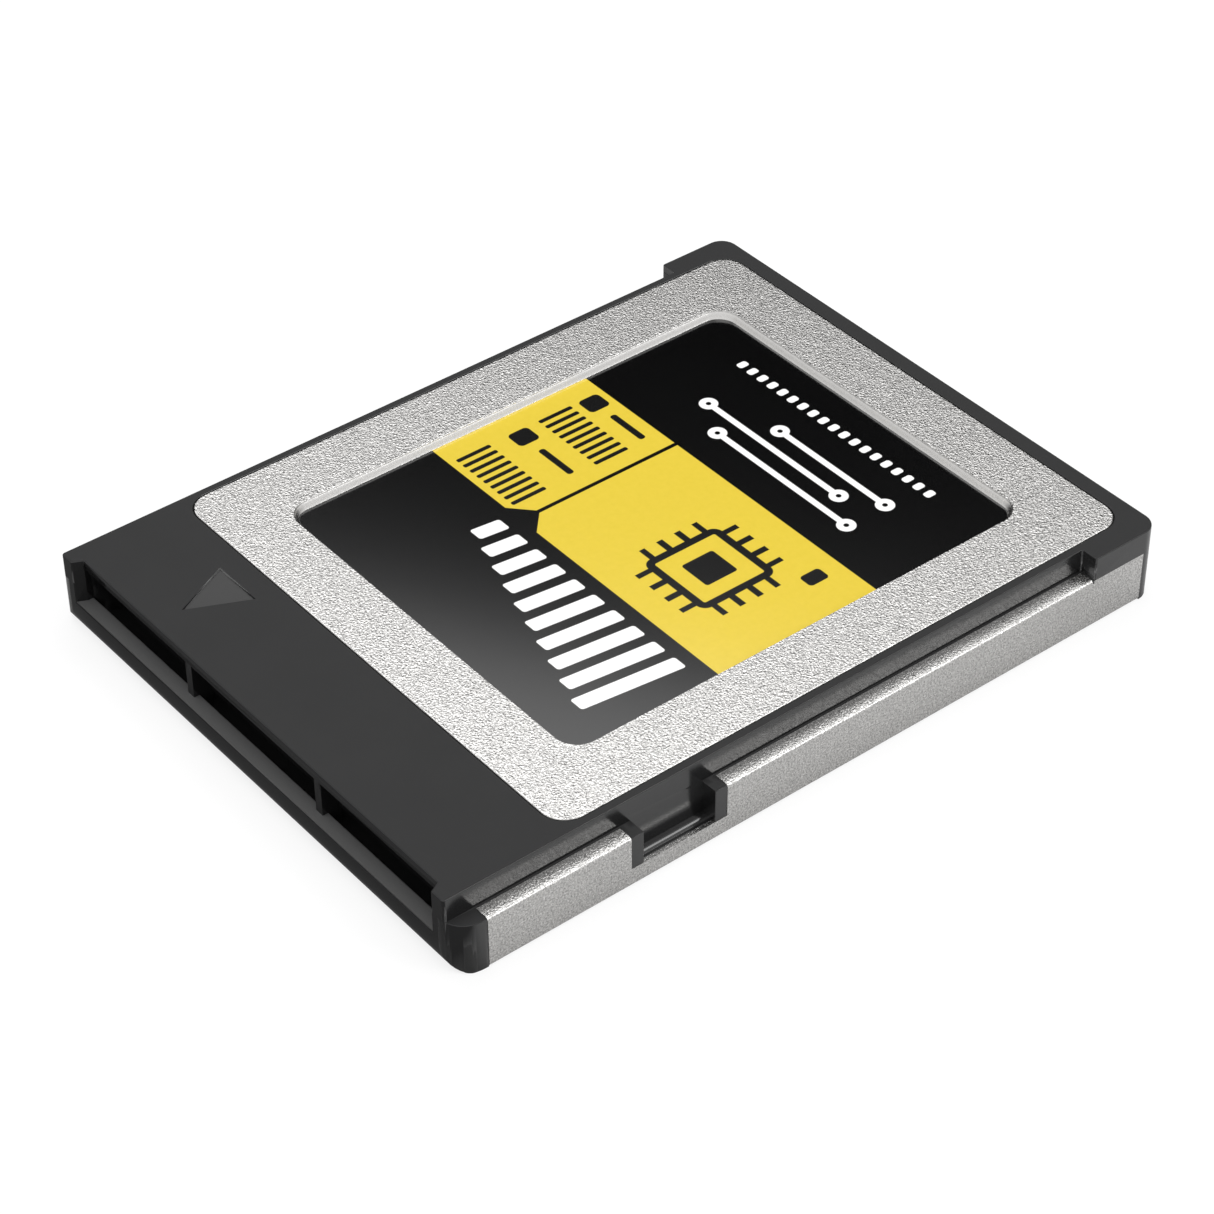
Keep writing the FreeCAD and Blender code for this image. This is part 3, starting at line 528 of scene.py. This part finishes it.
# %% Rows of shapes
def block_row(tree, x, y, left, right, low, high, count, gap, radius, lean=0.0, growth=0.0):
    """A row of blocks: one block's distance, repeated by folding x with a modulo.

    Block number n, counted from the left end, is growth·n shorter at its head.
    """
    pitch = (right - left + gap) / count
    half_row = (right - left + gap) / 2
    leaned = maths(tree, "MULTIPLY_ADD", y, -lean, x)
    start = maths(tree, "SUBTRACT", leaned, left - gap / 2 - lean * low)
    folded = maths(tree, "SUBTRACT", maths(tree, "FLOORED_MODULO", start, pitch), pitch / 2)
    number = maths(tree, "FLOOR", maths(tree, "DIVIDE", start, pitch))
    head = maths(tree, "MULTIPLY_ADD", number, -growth, high - radius)
    over = maths(tree, "SUBTRACT", y, head)
    under = maths(tree, "SUBTRACT", low + radius, y)
    along = maths(tree, "MAXIMUM", maths(tree, "MAXIMUM", over, under), 0.0)
    block = block_distance(tree, folded, along, (pitch - gap) / 2, radius, radius)
    outside = maths(tree, "ABSOLUTE", maths(tree, "SUBTRACT", start, half_row))
    return maths(tree, "MAXIMUM", block, maths(tree, "SUBTRACT", outside, half_row))


def join_shapes(tree, distances):
    """The union of shapes: the smallest of their distances."""
    total = distances[0]
    for distance in distances[1:]:
        total = maths(tree, "MINIMUM", total, distance)
    return total


print("shape helpers ready")

# %% [markdown]
# The drawing itself is a table: each line is one row of blocks, with its left and right
# end, its foot and head, and how many blocks it holds. Rising bars fill the front field,
# two tick scales with small blocks stand on the yellow band beside the pictogram of a
# chip, and three conductor tracks with round pads run across the rear field. The band's
# front edge dips to a notch like an arrowhead, above a thin black line.

# %% The print
WHITE_ROWS = (
    (-8.8, 4.15, 2.75, 7.85, 10, 0.55, 0.14, 0.12, 0.40),
    (-6.7, 6.5, -13.5, -12.95, 19, 0.32, 0.14),
)
DARK_ROWS = (
    (4.55, 8.85, -0.25, 1.65, 9, 0.26, 0.09),
    (4.75, 7.05, -2.0, -1.65, 1, 0.2, 0.15),
    (7.75, 8.85, -2.4, -1.25, 1, 0.2, 0.25),
    (4.55, 8.85, -4.95, -3.05, 9, 0.26, 0.09),
    (4.75, 7.05, -6.15, -5.8, 1, 0.2, 0.15),
    (7.75, 8.85, -6.5, -5.35, 1, 0.2, 0.25),
    (-8.1, -7.3, -5.9, -4.8, 1, 0.1, 0.2),
)
TRACKS = ((-6.3, 3.4, -8.85), (-4.5, 5.4, -10.0), (-6.3, 1.7, -11.15))
BAND_REAR, BAND_FRONT, NOTCH_TIP, NOTCH_HALF = -6.85, 2.03, 0.98, 1.14
LINE_X, LINE_HALF = 3.5, 0.11


def yellow_band(tree, x, y):
    """Distance to the band, whose front edge dips to the notch's tip at the black line."""
    off = maths(tree, "ABSOLUTE", maths(tree, "SUBTRACT", x, LINE_X))
    slope = (BAND_FRONT - NOTCH_TIP) / NOTCH_HALF
    dip = maths(tree, "MULTIPLY_ADD", off, slope, NOTCH_TIP)
    edge = maths(tree, "MINIMUM", dip, BAND_FRONT)
    over = maths(tree, "SUBTRACT", y, edge)
    under = maths(tree, "SUBTRACT", BAND_REAR, y)
    line = maths(tree, "SUBTRACT", LINE_HALF, off)
    return maths(tree, "MAXIMUM", maths(tree, "MAXIMUM", over, under), line)


def track(tree, x, y, left, right, level, pad=0.45, line=0.16):
    """A straight conductor with a ring at each end; x is folded about its middle."""
    half = (right - left) / 2 - pad
    away = maths(tree, "ABSOLUTE", maths(tree, "SUBTRACT", x, (left + right) / 2))
    along = maths(tree, "SUBTRACT", y, level)
    disc = block_distance(tree, maths(tree, "SUBTRACT", away, half), along, pad, pad, pad)
    ring = maths(tree, "SUBTRACT", maths(tree, "ABSOLUTE", maths(tree, "ADD", disc, line)), line)
    bar = block_distance(tree, away, along, half - pad + line, line, line)
    return maths(tree, "MINIMUM", ring, bar)


def chip_pictogram(tree, x, y, middle_x, middle_y, size=2.1):
    """A square ring, a small square in it, and legs on all four sides."""
    across = maths(tree, "SUBTRACT", x, middle_x)
    along = maths(tree, "SUBTRACT", y, middle_y)
    body = block_distance(tree, across, along, size, size, 0.5)
    ring = maths(tree, "SUBTRACT", maths(tree, "ABSOLUTE", maths(tree, "ADD", body, 0.2)), 0.2)
    core = block_distance(tree, across, along, size * 0.42, size * 0.42, 0.15)
    legs = []
    for side, other in ((across, along), (along, across)):
        folded = maths(tree, "PINGPONG", maths(tree, "ABSOLUTE", side), 0.5)
        leg = maths(tree, "SUBTRACT", 0.33, folded)
        reach = maths(tree, "SUBTRACT", maths(tree, "ABSOLUTE", other), size + 0.75)
        inner = maths(tree, "SUBTRACT", size - 0.1, maths(tree, "ABSOLUTE", other))
        width = maths(tree, "SUBTRACT", maths(tree, "ABSOLUTE", side), size * 0.78)
        limit = maths(tree, "MAXIMUM", maths(tree, "MAXIMUM", reach, inner), width)
        legs.append(maths(tree, "MAXIMUM", leg, limit))
    return join_shapes(tree, [ring, core] + legs)


def printed_film():
    """Black film, yellow band, dark and white blocks, under one clear gloss."""
    material, tree, shader = new_finish(
        "label_print", Specular_IOR_Level=0.5, Roughness=0.12)
    place = card_place(tree)
    split = add(tree, "ShaderNodeSeparateXYZ", {0: place})
    x, y = split.outputs[0], split.outputs[1]
    cloud = grain(tree, place, 0.35, 2.0)
    black = mix_colour(tree, cloud, (0.0005, 0.0005, 0.0006, 1), (0.0012, 0.0012, 0.0013, 1))
    yellow = mix_colour(tree, cloud, (0.64, 0.48, 0.042, 1), (0.70, 0.528, 0.055, 1))
    colour = mix_colour(tree, soft_inside(tree, yellow_band(tree, x, y)), black, yellow)
    dark = [block_row(tree, x, y, *row) for row in DARK_ROWS]
    dark.append(chip_pictogram(tree, x, y, -4.35, -2.25))
    ink = soft_inside(tree, join_shapes(tree, dark))
    colour = mix_colour(tree, ink, colour, (0.006, 0.006, 0.006, 1))
    white = [block_row(tree, x, y, *row) for row in WHITE_ROWS]
    white += [track(tree, x, y, *ends) for ends in TRACKS]
    paper = soft_inside(tree, join_shapes(tree, white))
    colour = mix_colour(tree, paper, colour, (0.86, 0.86, 0.85, 1))
    tree.links.new(colour, shader.inputs["Base Color"])
    ripple = grain(tree, place, 1.8, 1.0)
    tree.links.new(bump(tree, ripple, 0.000002, 0.15), shader.inputs["Normal"])
    print("print uses", len(tree.nodes), "nodes")
    return material


label = show("film", film_mesh, printed_film(), "label", "label")

# %% [markdown]
# ## The folded bottom shell
#
# The lower cover is one sheet, folded up both sides and inward on top of the rails. A
# folded sheet is a profile carried along the card, so the surface has two parameters:
# how far round the profile, and how far along. The cut-outs are places in that grid where
# no face is made. Under the rear grips the wall doesn't bend but stands straight, so
# there the same profile lengths are laid upwards. The folds are coined sharp on the real
# sheet: the outside keeps a small radius, and the inside almost none. That is why the
# inner face gets its own profile and isn't an even offset of the outer one.

# %% The shell's profiles
HALF, WALL_TOP, FLANGE_X = 14.8, 2.62, 14.05
BEND, INNER_BEND, SIDE_PAD = 0.14, 0.02, 0.03
NOTCH_FLOOR, RELIEF_TOP, GRIP_SEAM = 0.93, 2.44, 2.58
Y_LINES = np.array([-18.385, -15.36, -15.26, 5.545, 10.565, 17.76])
BEND_FOOT = WALL_TOP - BEND
ARC_LENGTHS = np.array([0.03, 0.065, GRIP_SEAM - BEND_FOOT, 0.14, 0.18, BEND * np.pi / 2])


def half_profile(depth, radius, straight):
    """Half a section, `depth` inside the outer face: floor, bend, wall, bend or straight."""
    side, foot, head = HALF - depth, depth, WALL_TOP - depth
    turn = np.linspace(0, np.pi / 2, 7)
    low = np.column_stack([
        side - radius + radius * np.sin(turn), foot + radius - radius * np.cos(turn)])
    low = np.concatenate([
        [(side - radius - SIDE_PAD, foot)], low, [(side, foot + radius + SIDE_PAD)]])
    if straight:
        heights = np.concatenate([
            [NOTCH_FLOOR, RELIEF_TOP, BEND_FOOT], BEND_FOOT + ARC_LENGTHS,
            BEND_FOOT + ARC_LENGTHS[-1] + np.array([SIDE_PAD, 0.6])])
        return np.concatenate([low, np.column_stack([np.full(heights.size, side), heights])])
    knee = head - radius
    wall = [(side, NOTCH_FLOOR), (side, min(RELIEF_TOP, knee - 0.02)), (side, knee)]
    angle = ARC_LENGTHS / BEND
    high = np.column_stack([
        side - radius + radius * np.cos(angle), knee + radius * np.sin(angle)])
    ledge = [(side - radius - SIDE_PAD, head), (FLANGE_X, head)]
    return np.concatenate([low, wall, high, ledge])


def sheet_face(depth, radius):
    """P(i, j): section i along the card, from the left flange round to the right one."""
    sections = []
    for y in Y_LINES:
        right = half_profile(depth, radius, straight=y < -15.3)
        both = np.concatenate([right[::-1] * (-1, 1), right])
        sections.append(np.column_stack([both[:, 0], np.full(len(both), y), both[:, 1]]))
    return np.array(sections)


outer_face, inner_face = sheet_face(0.0, BEND), sheet_face(SHEET, INNER_BEND)
print("profile points:", outer_face.shape[1], "ledge height:", outer_face[2, 0, 2])

# %% [markdown]
# With both faces as grids, the sheet's cut edges follow by counting. A cell's edge that
# no neighbour walks the other way is a border, and each border edge gets one face that
# joins the outer face to the inner one.

# %% The shell's faces
GRIP_CELLS, RELIEF_CELLS, NOTCH_CELLS = 14, 10, 9


def kept_cells(rows, count):
    """Cells counted outward from the floor: notches, reliefs and grips end early."""
    step = np.abs(np.arange(count - 1) - (count // 2 - 1))
    kept = np.ones((rows - 1, count - 1), bool)
    kept[0], kept[1], kept[3] = step <= GRIP_CELLS, step <= RELIEF_CELLS, step <= NOTCH_CELLS
    return kept


def sheet_faces(rows, count):
    """Outer cells, inner cells turned over, and the rims between them."""
    number = np.arange(rows * count).reshape(rows, count)
    cells = np.stack([number[:-1, :-1], number[1:, :-1], number[1:, 1:], number[:-1, 1:]], -1)
    outer = cells[kept_cells(rows, count)]
    start, stop = outer.ravel(), np.roll(outer, -1, axis=1).ravel()
    total = rows * count
    border = ~np.isin(start * total + stop, stop * total + start)
    a, b = start[border], stop[border]
    return [outer, outer[:, ::-1] + total, np.stack([b, a, a + total, b + total], -1)]


both_faces = np.concatenate([outer_face.reshape(-1, 3), inner_face.reshape(-1, 3)])
shell_mesh = make_mesh("bottom_shell_skin", both_faces, sheet_faces(*outer_face.shape[:2]))
work = bmesh.new()
work.from_mesh(shell_mesh)
bmesh.ops.delete(work, geom=[v for v in work.verts if not v.link_faces], context="VERTS")
work.to_mesh(shell_mesh)
work.free()
bottom_cover = show("wrap", shell_mesh, wrap_steel, "shell_metal", "bottom_cover")

# %% [markdown]
# ## The moulded frame
#
# The frame is the piece with the most form: a mouth between two ears, posts, a lip,
# notches, grips. Its solid already has all of that, so it isn't built again. Packed
# meshes are loose triangles, though, and their edges have no width. A copy is welded,
# its flat faces are joined, and its sharp edges are bevelled by a few hundredths of a
# millimetre, which is what catches the light along a real moulding. Before that, a
# Boolean takes a slanted lead-in off the roof of the mouth, which guides a plug in.

# %% The frame from its solid
def welded_copy(node):
    """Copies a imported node's mesh, merges its doubled points and joins its flat faces."""
    work = bmesh.new()
    work.from_mesh(frame["nodes"][node].data)
    bmesh.ops.remove_doubles(work, verts=work.verts, dist=2e-7)
    bmesh.ops.dissolve_limit(
        work, angle_limit=np.radians(0.8), verts=work.verts, edges=work.edges)
    return work


def roomy(edge, width):
    """True where every edge that meets this one is long enough for the bevel's width."""
    return all(
        other.calc_length() > 2.2 * width * MM
        for corner in edge.verts for other in corner.link_edges if other is not edge)


def break_edges(work, width, least_angle=50.0, least_length=0.15):
    """Bevels the outer edges that are sharp and long, and whose neighbours leave room."""
    sharp = [
        edge for edge in work.edges
        if edge.is_convex and edge.calc_face_angle(0.0) > np.radians(least_angle)
        and edge.calc_length() > least_length * MM and roomy(edge, width)]
    bmesh.ops.bevel(
        work, geom=sharp, offset=width * MM, offset_type="OFFSET", segments=2,
        profile=0.5, affect="EDGES", clamp_overlap=False)
    return len(sharp)


# %% The mouth's lead-in
MOUTH_HALF, POST_FACE_Y, ROOF_FACE_Y = 12.90, 18.30, 18.80
LIP_TOP, ROOF_UNDER, ROOF_CORNER = 1.575, 3.30, 3.71


def lead_in_block():
    """A prism along x: a slanted roof over a straight back, in front of the two posts."""
    section = np.array([
        (ROOF_FACE_Y, LIP_TOP), (ROOF_FACE_Y, ROOF_CORNER),
        (POST_FACE_Y, ROOF_UNDER), (POST_FACE_Y, LIP_TOP)])
    ends = [np.column_stack([np.full(4, x), section]) for x in (-MOUTH_HALF, MOUTH_HALF)]
    i = np.arange(4)
    j = (i + 1) % 4
    sides = np.stack([i, i + 4, j + 4, j], -1)
    return make_mesh("lead_in_block", np.concatenate(ends), [sides, [[0, 1, 2, 3], [7, 6, 5, 4]]])


def cut_away(mesh, block):
    """The mesh minus the block, worked out by a Boolean modifier and kept as a mesh."""
    pair = [bpy.data.objects.new(item.name, item) for item in (mesh, block)]
    for item in pair:
        bpy.context.scene.collection.objects.link(item)
    cut = pair[0].modifiers.new("cut", "BOOLEAN")
    cut.object, cut.operation, cut.solver = pair[1], "DIFFERENCE", "EXACT"
    solved = pair[0].evaluated_get(bpy.context.evaluated_depsgraph_get())
    result = bpy.data.meshes.new_from_object(solved)
    for item in pair:
        bpy.data.objects.remove(item)
    return result


work = welded_copy("frame_housing")
volume = work.calc_volume()
housing_mesh = bpy.data.meshes.new("frame_skin")
work.to_mesh(housing_mesh)
work.free()
housing_mesh = cut_away(housing_mesh, lead_in_block())
work = bmesh.new()
work.from_mesh(housing_mesh)
print("taken off by the lead-in, mm3:", round((volume - work.calc_volume()) / MM ** 3, 2))
print("open edges:", sum(not edge.is_manifold for edge in work.edges))
print("sharp edges bevelled:", break_edges(work, 0.04))
work.to_mesh(housing_mesh)
work.free()
housing_mesh.polygons.foreach_set("use_smooth", np.ones(len(housing_mesh.polygons), bool))
housing_mesh.set_sharp_from_angle(angle=np.radians(50))
housing = show("moulding", housing_mesh, gloss_painted_shade_plastic, "housing", "frame_housing")
housing_mesh.materials.append(matt_painted_light_plastic)
# Faces that look up take the lighter matt copy. This is painted light on the tops and painted shade
# on the walls, besides their real difference in gloss.
upward_painted_light = np.array([
    face.normal.z > 0.7 and face.center.z > 1.5 * MM for face in housing_mesh.polygons])
housing_mesh.polygons.foreach_set("material_index", upward_painted_light.astype(np.int32))
print("matt faces:", upward_painted_light.sum(), "of", upward_painted_light.size)
settle_shading(housing)

# %% [markdown]
# ## Inside the card
#
# The board, the chips and the contacts are hidden in this portrait, but they are part
# of the card, and other views may open it. Their solids are right as they are, so they
# keep them and only get finishes: green solder mask with faint tracks, dark moulded
# packages, gold, ceramic and soft grey pads.

# %% Finishes for the inner parts
def solder_mask():
    """Green lacquer with straight tracks: stripes folded by a modulo, broken by noise."""
    material, tree, shader = new_finish("board_solder_mask", Roughness=0.35)
    place = card_place(tree)
    split = add(tree, "ShaderNodeSeparateXYZ", {0: place})
    stripes = maths(tree, "PINGPONG", split.outputs[0], 0.3)
    zone = grain(tree, place, 4.0, 1.0)
    track = maths(tree, "MULTIPLY", between(tree, stripes, 0.08, 0.12, 0.0, 1.0),
                  between(tree, zone, 0.48, 0.5, 0.0, 1.0))
    colour = mix_colour(tree, track, (0.004, 0.035, 0.018, 1), (0.012, 0.075, 0.035, 1))
    tree.links.new(colour, shader.inputs["Base Color"])
    tree.links.new(bump(tree, track, 0.00002, 0.3), shader.inputs["Normal"])
    return material


def speckled(name, first, second, size, roughness, metallic=0.0):
    """Two close tones in blotches of `size` mm, with a little relief."""
    material, tree, shader = new_finish(name, Roughness=roughness, Metallic=metallic)
    spots = grain(tree, card_place(tree), size, 3.0)
    tone = between(tree, spots, 0.35, 0.65, 0.0, 1.0)
    tree.links.new(mix_colour(tree, tone, first + (1,), second + (1,)), shader.inputs["Base Color"])
    tree.links.new(bump(tree, spots, 0.000005, 0.2), shader.inputs["Normal"])
    return material


INNER_FINISHES = {
    "board": solder_mask(),
    "carrier": carrier_plastic,
    "contact": speckled("contact_gold", (0.83, 0.56, 0.20), (0.92, 0.66, 0.28), 0.3, 0.22, 1.0),
    "chip": speckled("chip_moulding", (0.016, 0.016, 0.018), (0.028, 0.028, 0.03), 0.12, 0.6),
    "ceramic": speckled("part_ceramic", (0.22, 0.14, 0.085), (0.30, 0.20, 0.13), 0.1, 0.5),
    "inductor": speckled("part_ferrite", (0.06, 0.06, 0.065), (0.11, 0.11, 0.115), 0.08, 0.65),
    "pad": speckled("heat_pad", (0.20, 0.22, 0.25), (0.28, 0.30, 0.33), 0.25, 0.8),
}
slot_of = {part["node"]: part["material_slot"] for part in frame["record"]["subparts"]}
dressed = 0
for node, part in frame["nodes"].items():
    if slot_of[node] in INNER_FINISHES:
        part.data.materials.clear()
        part.data.materials.append(INNER_FINISHES[slot_of[node]])
        dressed += 1
print("inner parts dressed:", dressed)

# %% [markdown]
# ## Table, tent and lamps
#
# Glossy black shows nothing of its own: what we see on it is the studio. A wide lamp
# stands behind the card, opposite the camera, and its lower edge is what fades across
# the label. Around it the tent is dark, so that the label stays black; on all other sides
# it is pale. The table is white to the camera. What the card gets back from it is less,
# and least in front of the mouth, where the glossy walls would mirror it.

# %% The table
SEEN_TONE = (0.95, 0.95, 0.95, 1)
BOUNCE_BESIDE, BOUNCE_AHEAD = 0.58, 0.12
BOUNCE_FADE = (17.5, 20.0)


def white_table():
    """A wide sheet under the card; what the camera sees of it is lifted towards white.

    To all other rays its tone falls from BOUNCE_BESIDE to BOUNCE_AHEAD between the two
    places along the card in BOUNCE_FADE, in millimetres.
    """
    side = np.array([-0.6, 0.6])
    x, y = np.meshgrid(side, side)
    corners = np.column_stack([x.ravel(), y.ravel(), np.full(4, -0.00002)]) / MM
    mesh = make_mesh("table_sheet", corners, [np.array([[0, 1, 3, 2]])])
    table = bpy.data.objects.new("table", mesh)
    bpy.context.scene.collection.objects.link(table)
    material, tree, shader = new_finish("table_white", Roughness=0.9, Specular_IOR_Level=0.1)
    glow = add(tree, "ShaderNodeEmission", {"Color": (1, 1, 1, 1), "Strength": 1.0})
    seen = add(tree, "ShaderNodeLightPath").outputs["Is Camera Ray"]
    along = add(tree, "ShaderNodeSeparateXYZ", {0: card_place(tree)}).outputs[1]
    bounce = between(tree, along, *BOUNCE_FADE, BOUNCE_BESIDE, BOUNCE_AHEAD)
    shade = mix_colour(tree, seen, bounce, SEEN_TONE)
    tree.links.new(shade, shader.inputs["Base Color"])
    share = maths(tree, "MULTIPLY", seen, 0.8)
    blend = add(tree, "ShaderNodeMixShader", {0: share, 1: shader.outputs[0], 2: glow.outputs[0]})
    tree.links.new(blend.outputs[0], tree.nodes["Material Output"].inputs[0])
    mesh.materials.append(material)
    table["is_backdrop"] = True
    return table


table = white_table()
print("table at z, mm:", round(table.data.vertices[0].co.z / MM, 3))


# %% The tent
def light_tent(low=0.7, front=0.85, back=0.01, zenith=1.0):
    """World light by height and side; white to the camera.

    All sides rise from low at the horizon to front, but for a dark stretch behind the
    card, and everything reaches zenith overhead.
    """
    world = bpy.data.worlds.new("light_tent")
    bpy.context.scene.world = world
    world.use_nodes = True
    tree = world.node_tree
    direction = add(tree, "ShaderNodeTexCoord").outputs["Generated"]
    height = add(tree, "ShaderNodeSeparateXYZ", {0: direction}).outputs[2]
    side = add(tree, "ShaderNodeVectorMath", {0: direction, 1: (0.78, -0.62, 0.0)},
               operation="DOT_PRODUCT").outputs["Value"]
    rise = between(tree, height, 0.0, 0.45, low, front)
    horizon = between(tree, side, 0.3, 0.7, rise, back)
    level = add(tree, "ShaderNodeMapRange", {
        0: height, 1: 0.66, 2: 0.95, 3: horizon, 4: zenith},
        clamp=True, interpolation_type="SMOOTHSTEP").outputs[0]
    seen = add(tree, "ShaderNodeLightPath").outputs["Is Camera Ray"]
    strength = maths(tree, "MAXIMUM", level, seen)
    background = tree.nodes["Background"]
    background.inputs["Color"].default_value = (1, 1, 1, 1)
    tree.links.new(strength, background.inputs["Strength"])
    return world


light_tent()
print("tent set")


# %% [markdown]
# Three lamps complete the light. The front lamp stands almost overhead. The side lamp
# is there for one stripe only: it lights the folded flange as the deck's glossy wall
# sees it, and the wall mirrors that above a dark gap.

# %% The lamps
LAMPS = (
    ("wide_back_lamp", -28, 52.7, 0.8, 0.80, 0.37, 2.85, -18),
    ("front_lamp", 90, 74, 0.8, 0.6, 0.6, 1.3, 0),
    ("side_lamp", 216, 36, 0.8, 0.36, 0.36, 4.2, 0),
)


def lamp(name, azimuth, elevation, distance, width, height, radiance, roll):
    """An area lamp that faces the card and is rolled about its beam; power = L·pi·area."""
    turn, rise = np.radians(azimuth), np.radians(elevation)
    place = distance * np.array([
        np.cos(turn) * np.cos(rise), np.sin(turn) * np.cos(rise), np.sin(rise)])
    back = place / distance
    side = np.cross([0, 0, 1.0], back)
    side /= np.linalg.norm(side)
    side = side * np.cos(np.radians(roll)) + np.cross(back, side) * np.sin(np.radians(roll))
    axes = np.column_stack([side, np.cross(back, side), back])
    data = bpy.data.lights.new(name, "AREA")
    data.shape, data.size, data.size_y = "RECTANGLE", width, height
    data.energy = radiance * np.pi * width * height
    made = bpy.data.objects.new(name, data)
    bpy.context.scene.collection.objects.link(made)
    made.rotation_euler = Matrix(axes.tolist()).to_euler()
    made.location = place
    print(name, "power, W:", round(data.energy, 3))
    return made


for settings in LAMPS:
    lamp(*settings)

# %% [markdown]
# ## Last steps
#
# The view transform is Standard, so a colour shows as it was written. The growth of the
# dressed card's box past the box of the solids is printed, in millimetres, to show how
# close the surfaces stayed to the solids.

# %% Finish
bpy.context.scene.view_settings.view_transform = "Standard"
dressed_box = [list(corner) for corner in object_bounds()]
grown = (np.array(dressed_box) - np.array(cad_box)) / MM
print("growth, mm:", np.round(grown, 3).tolist())
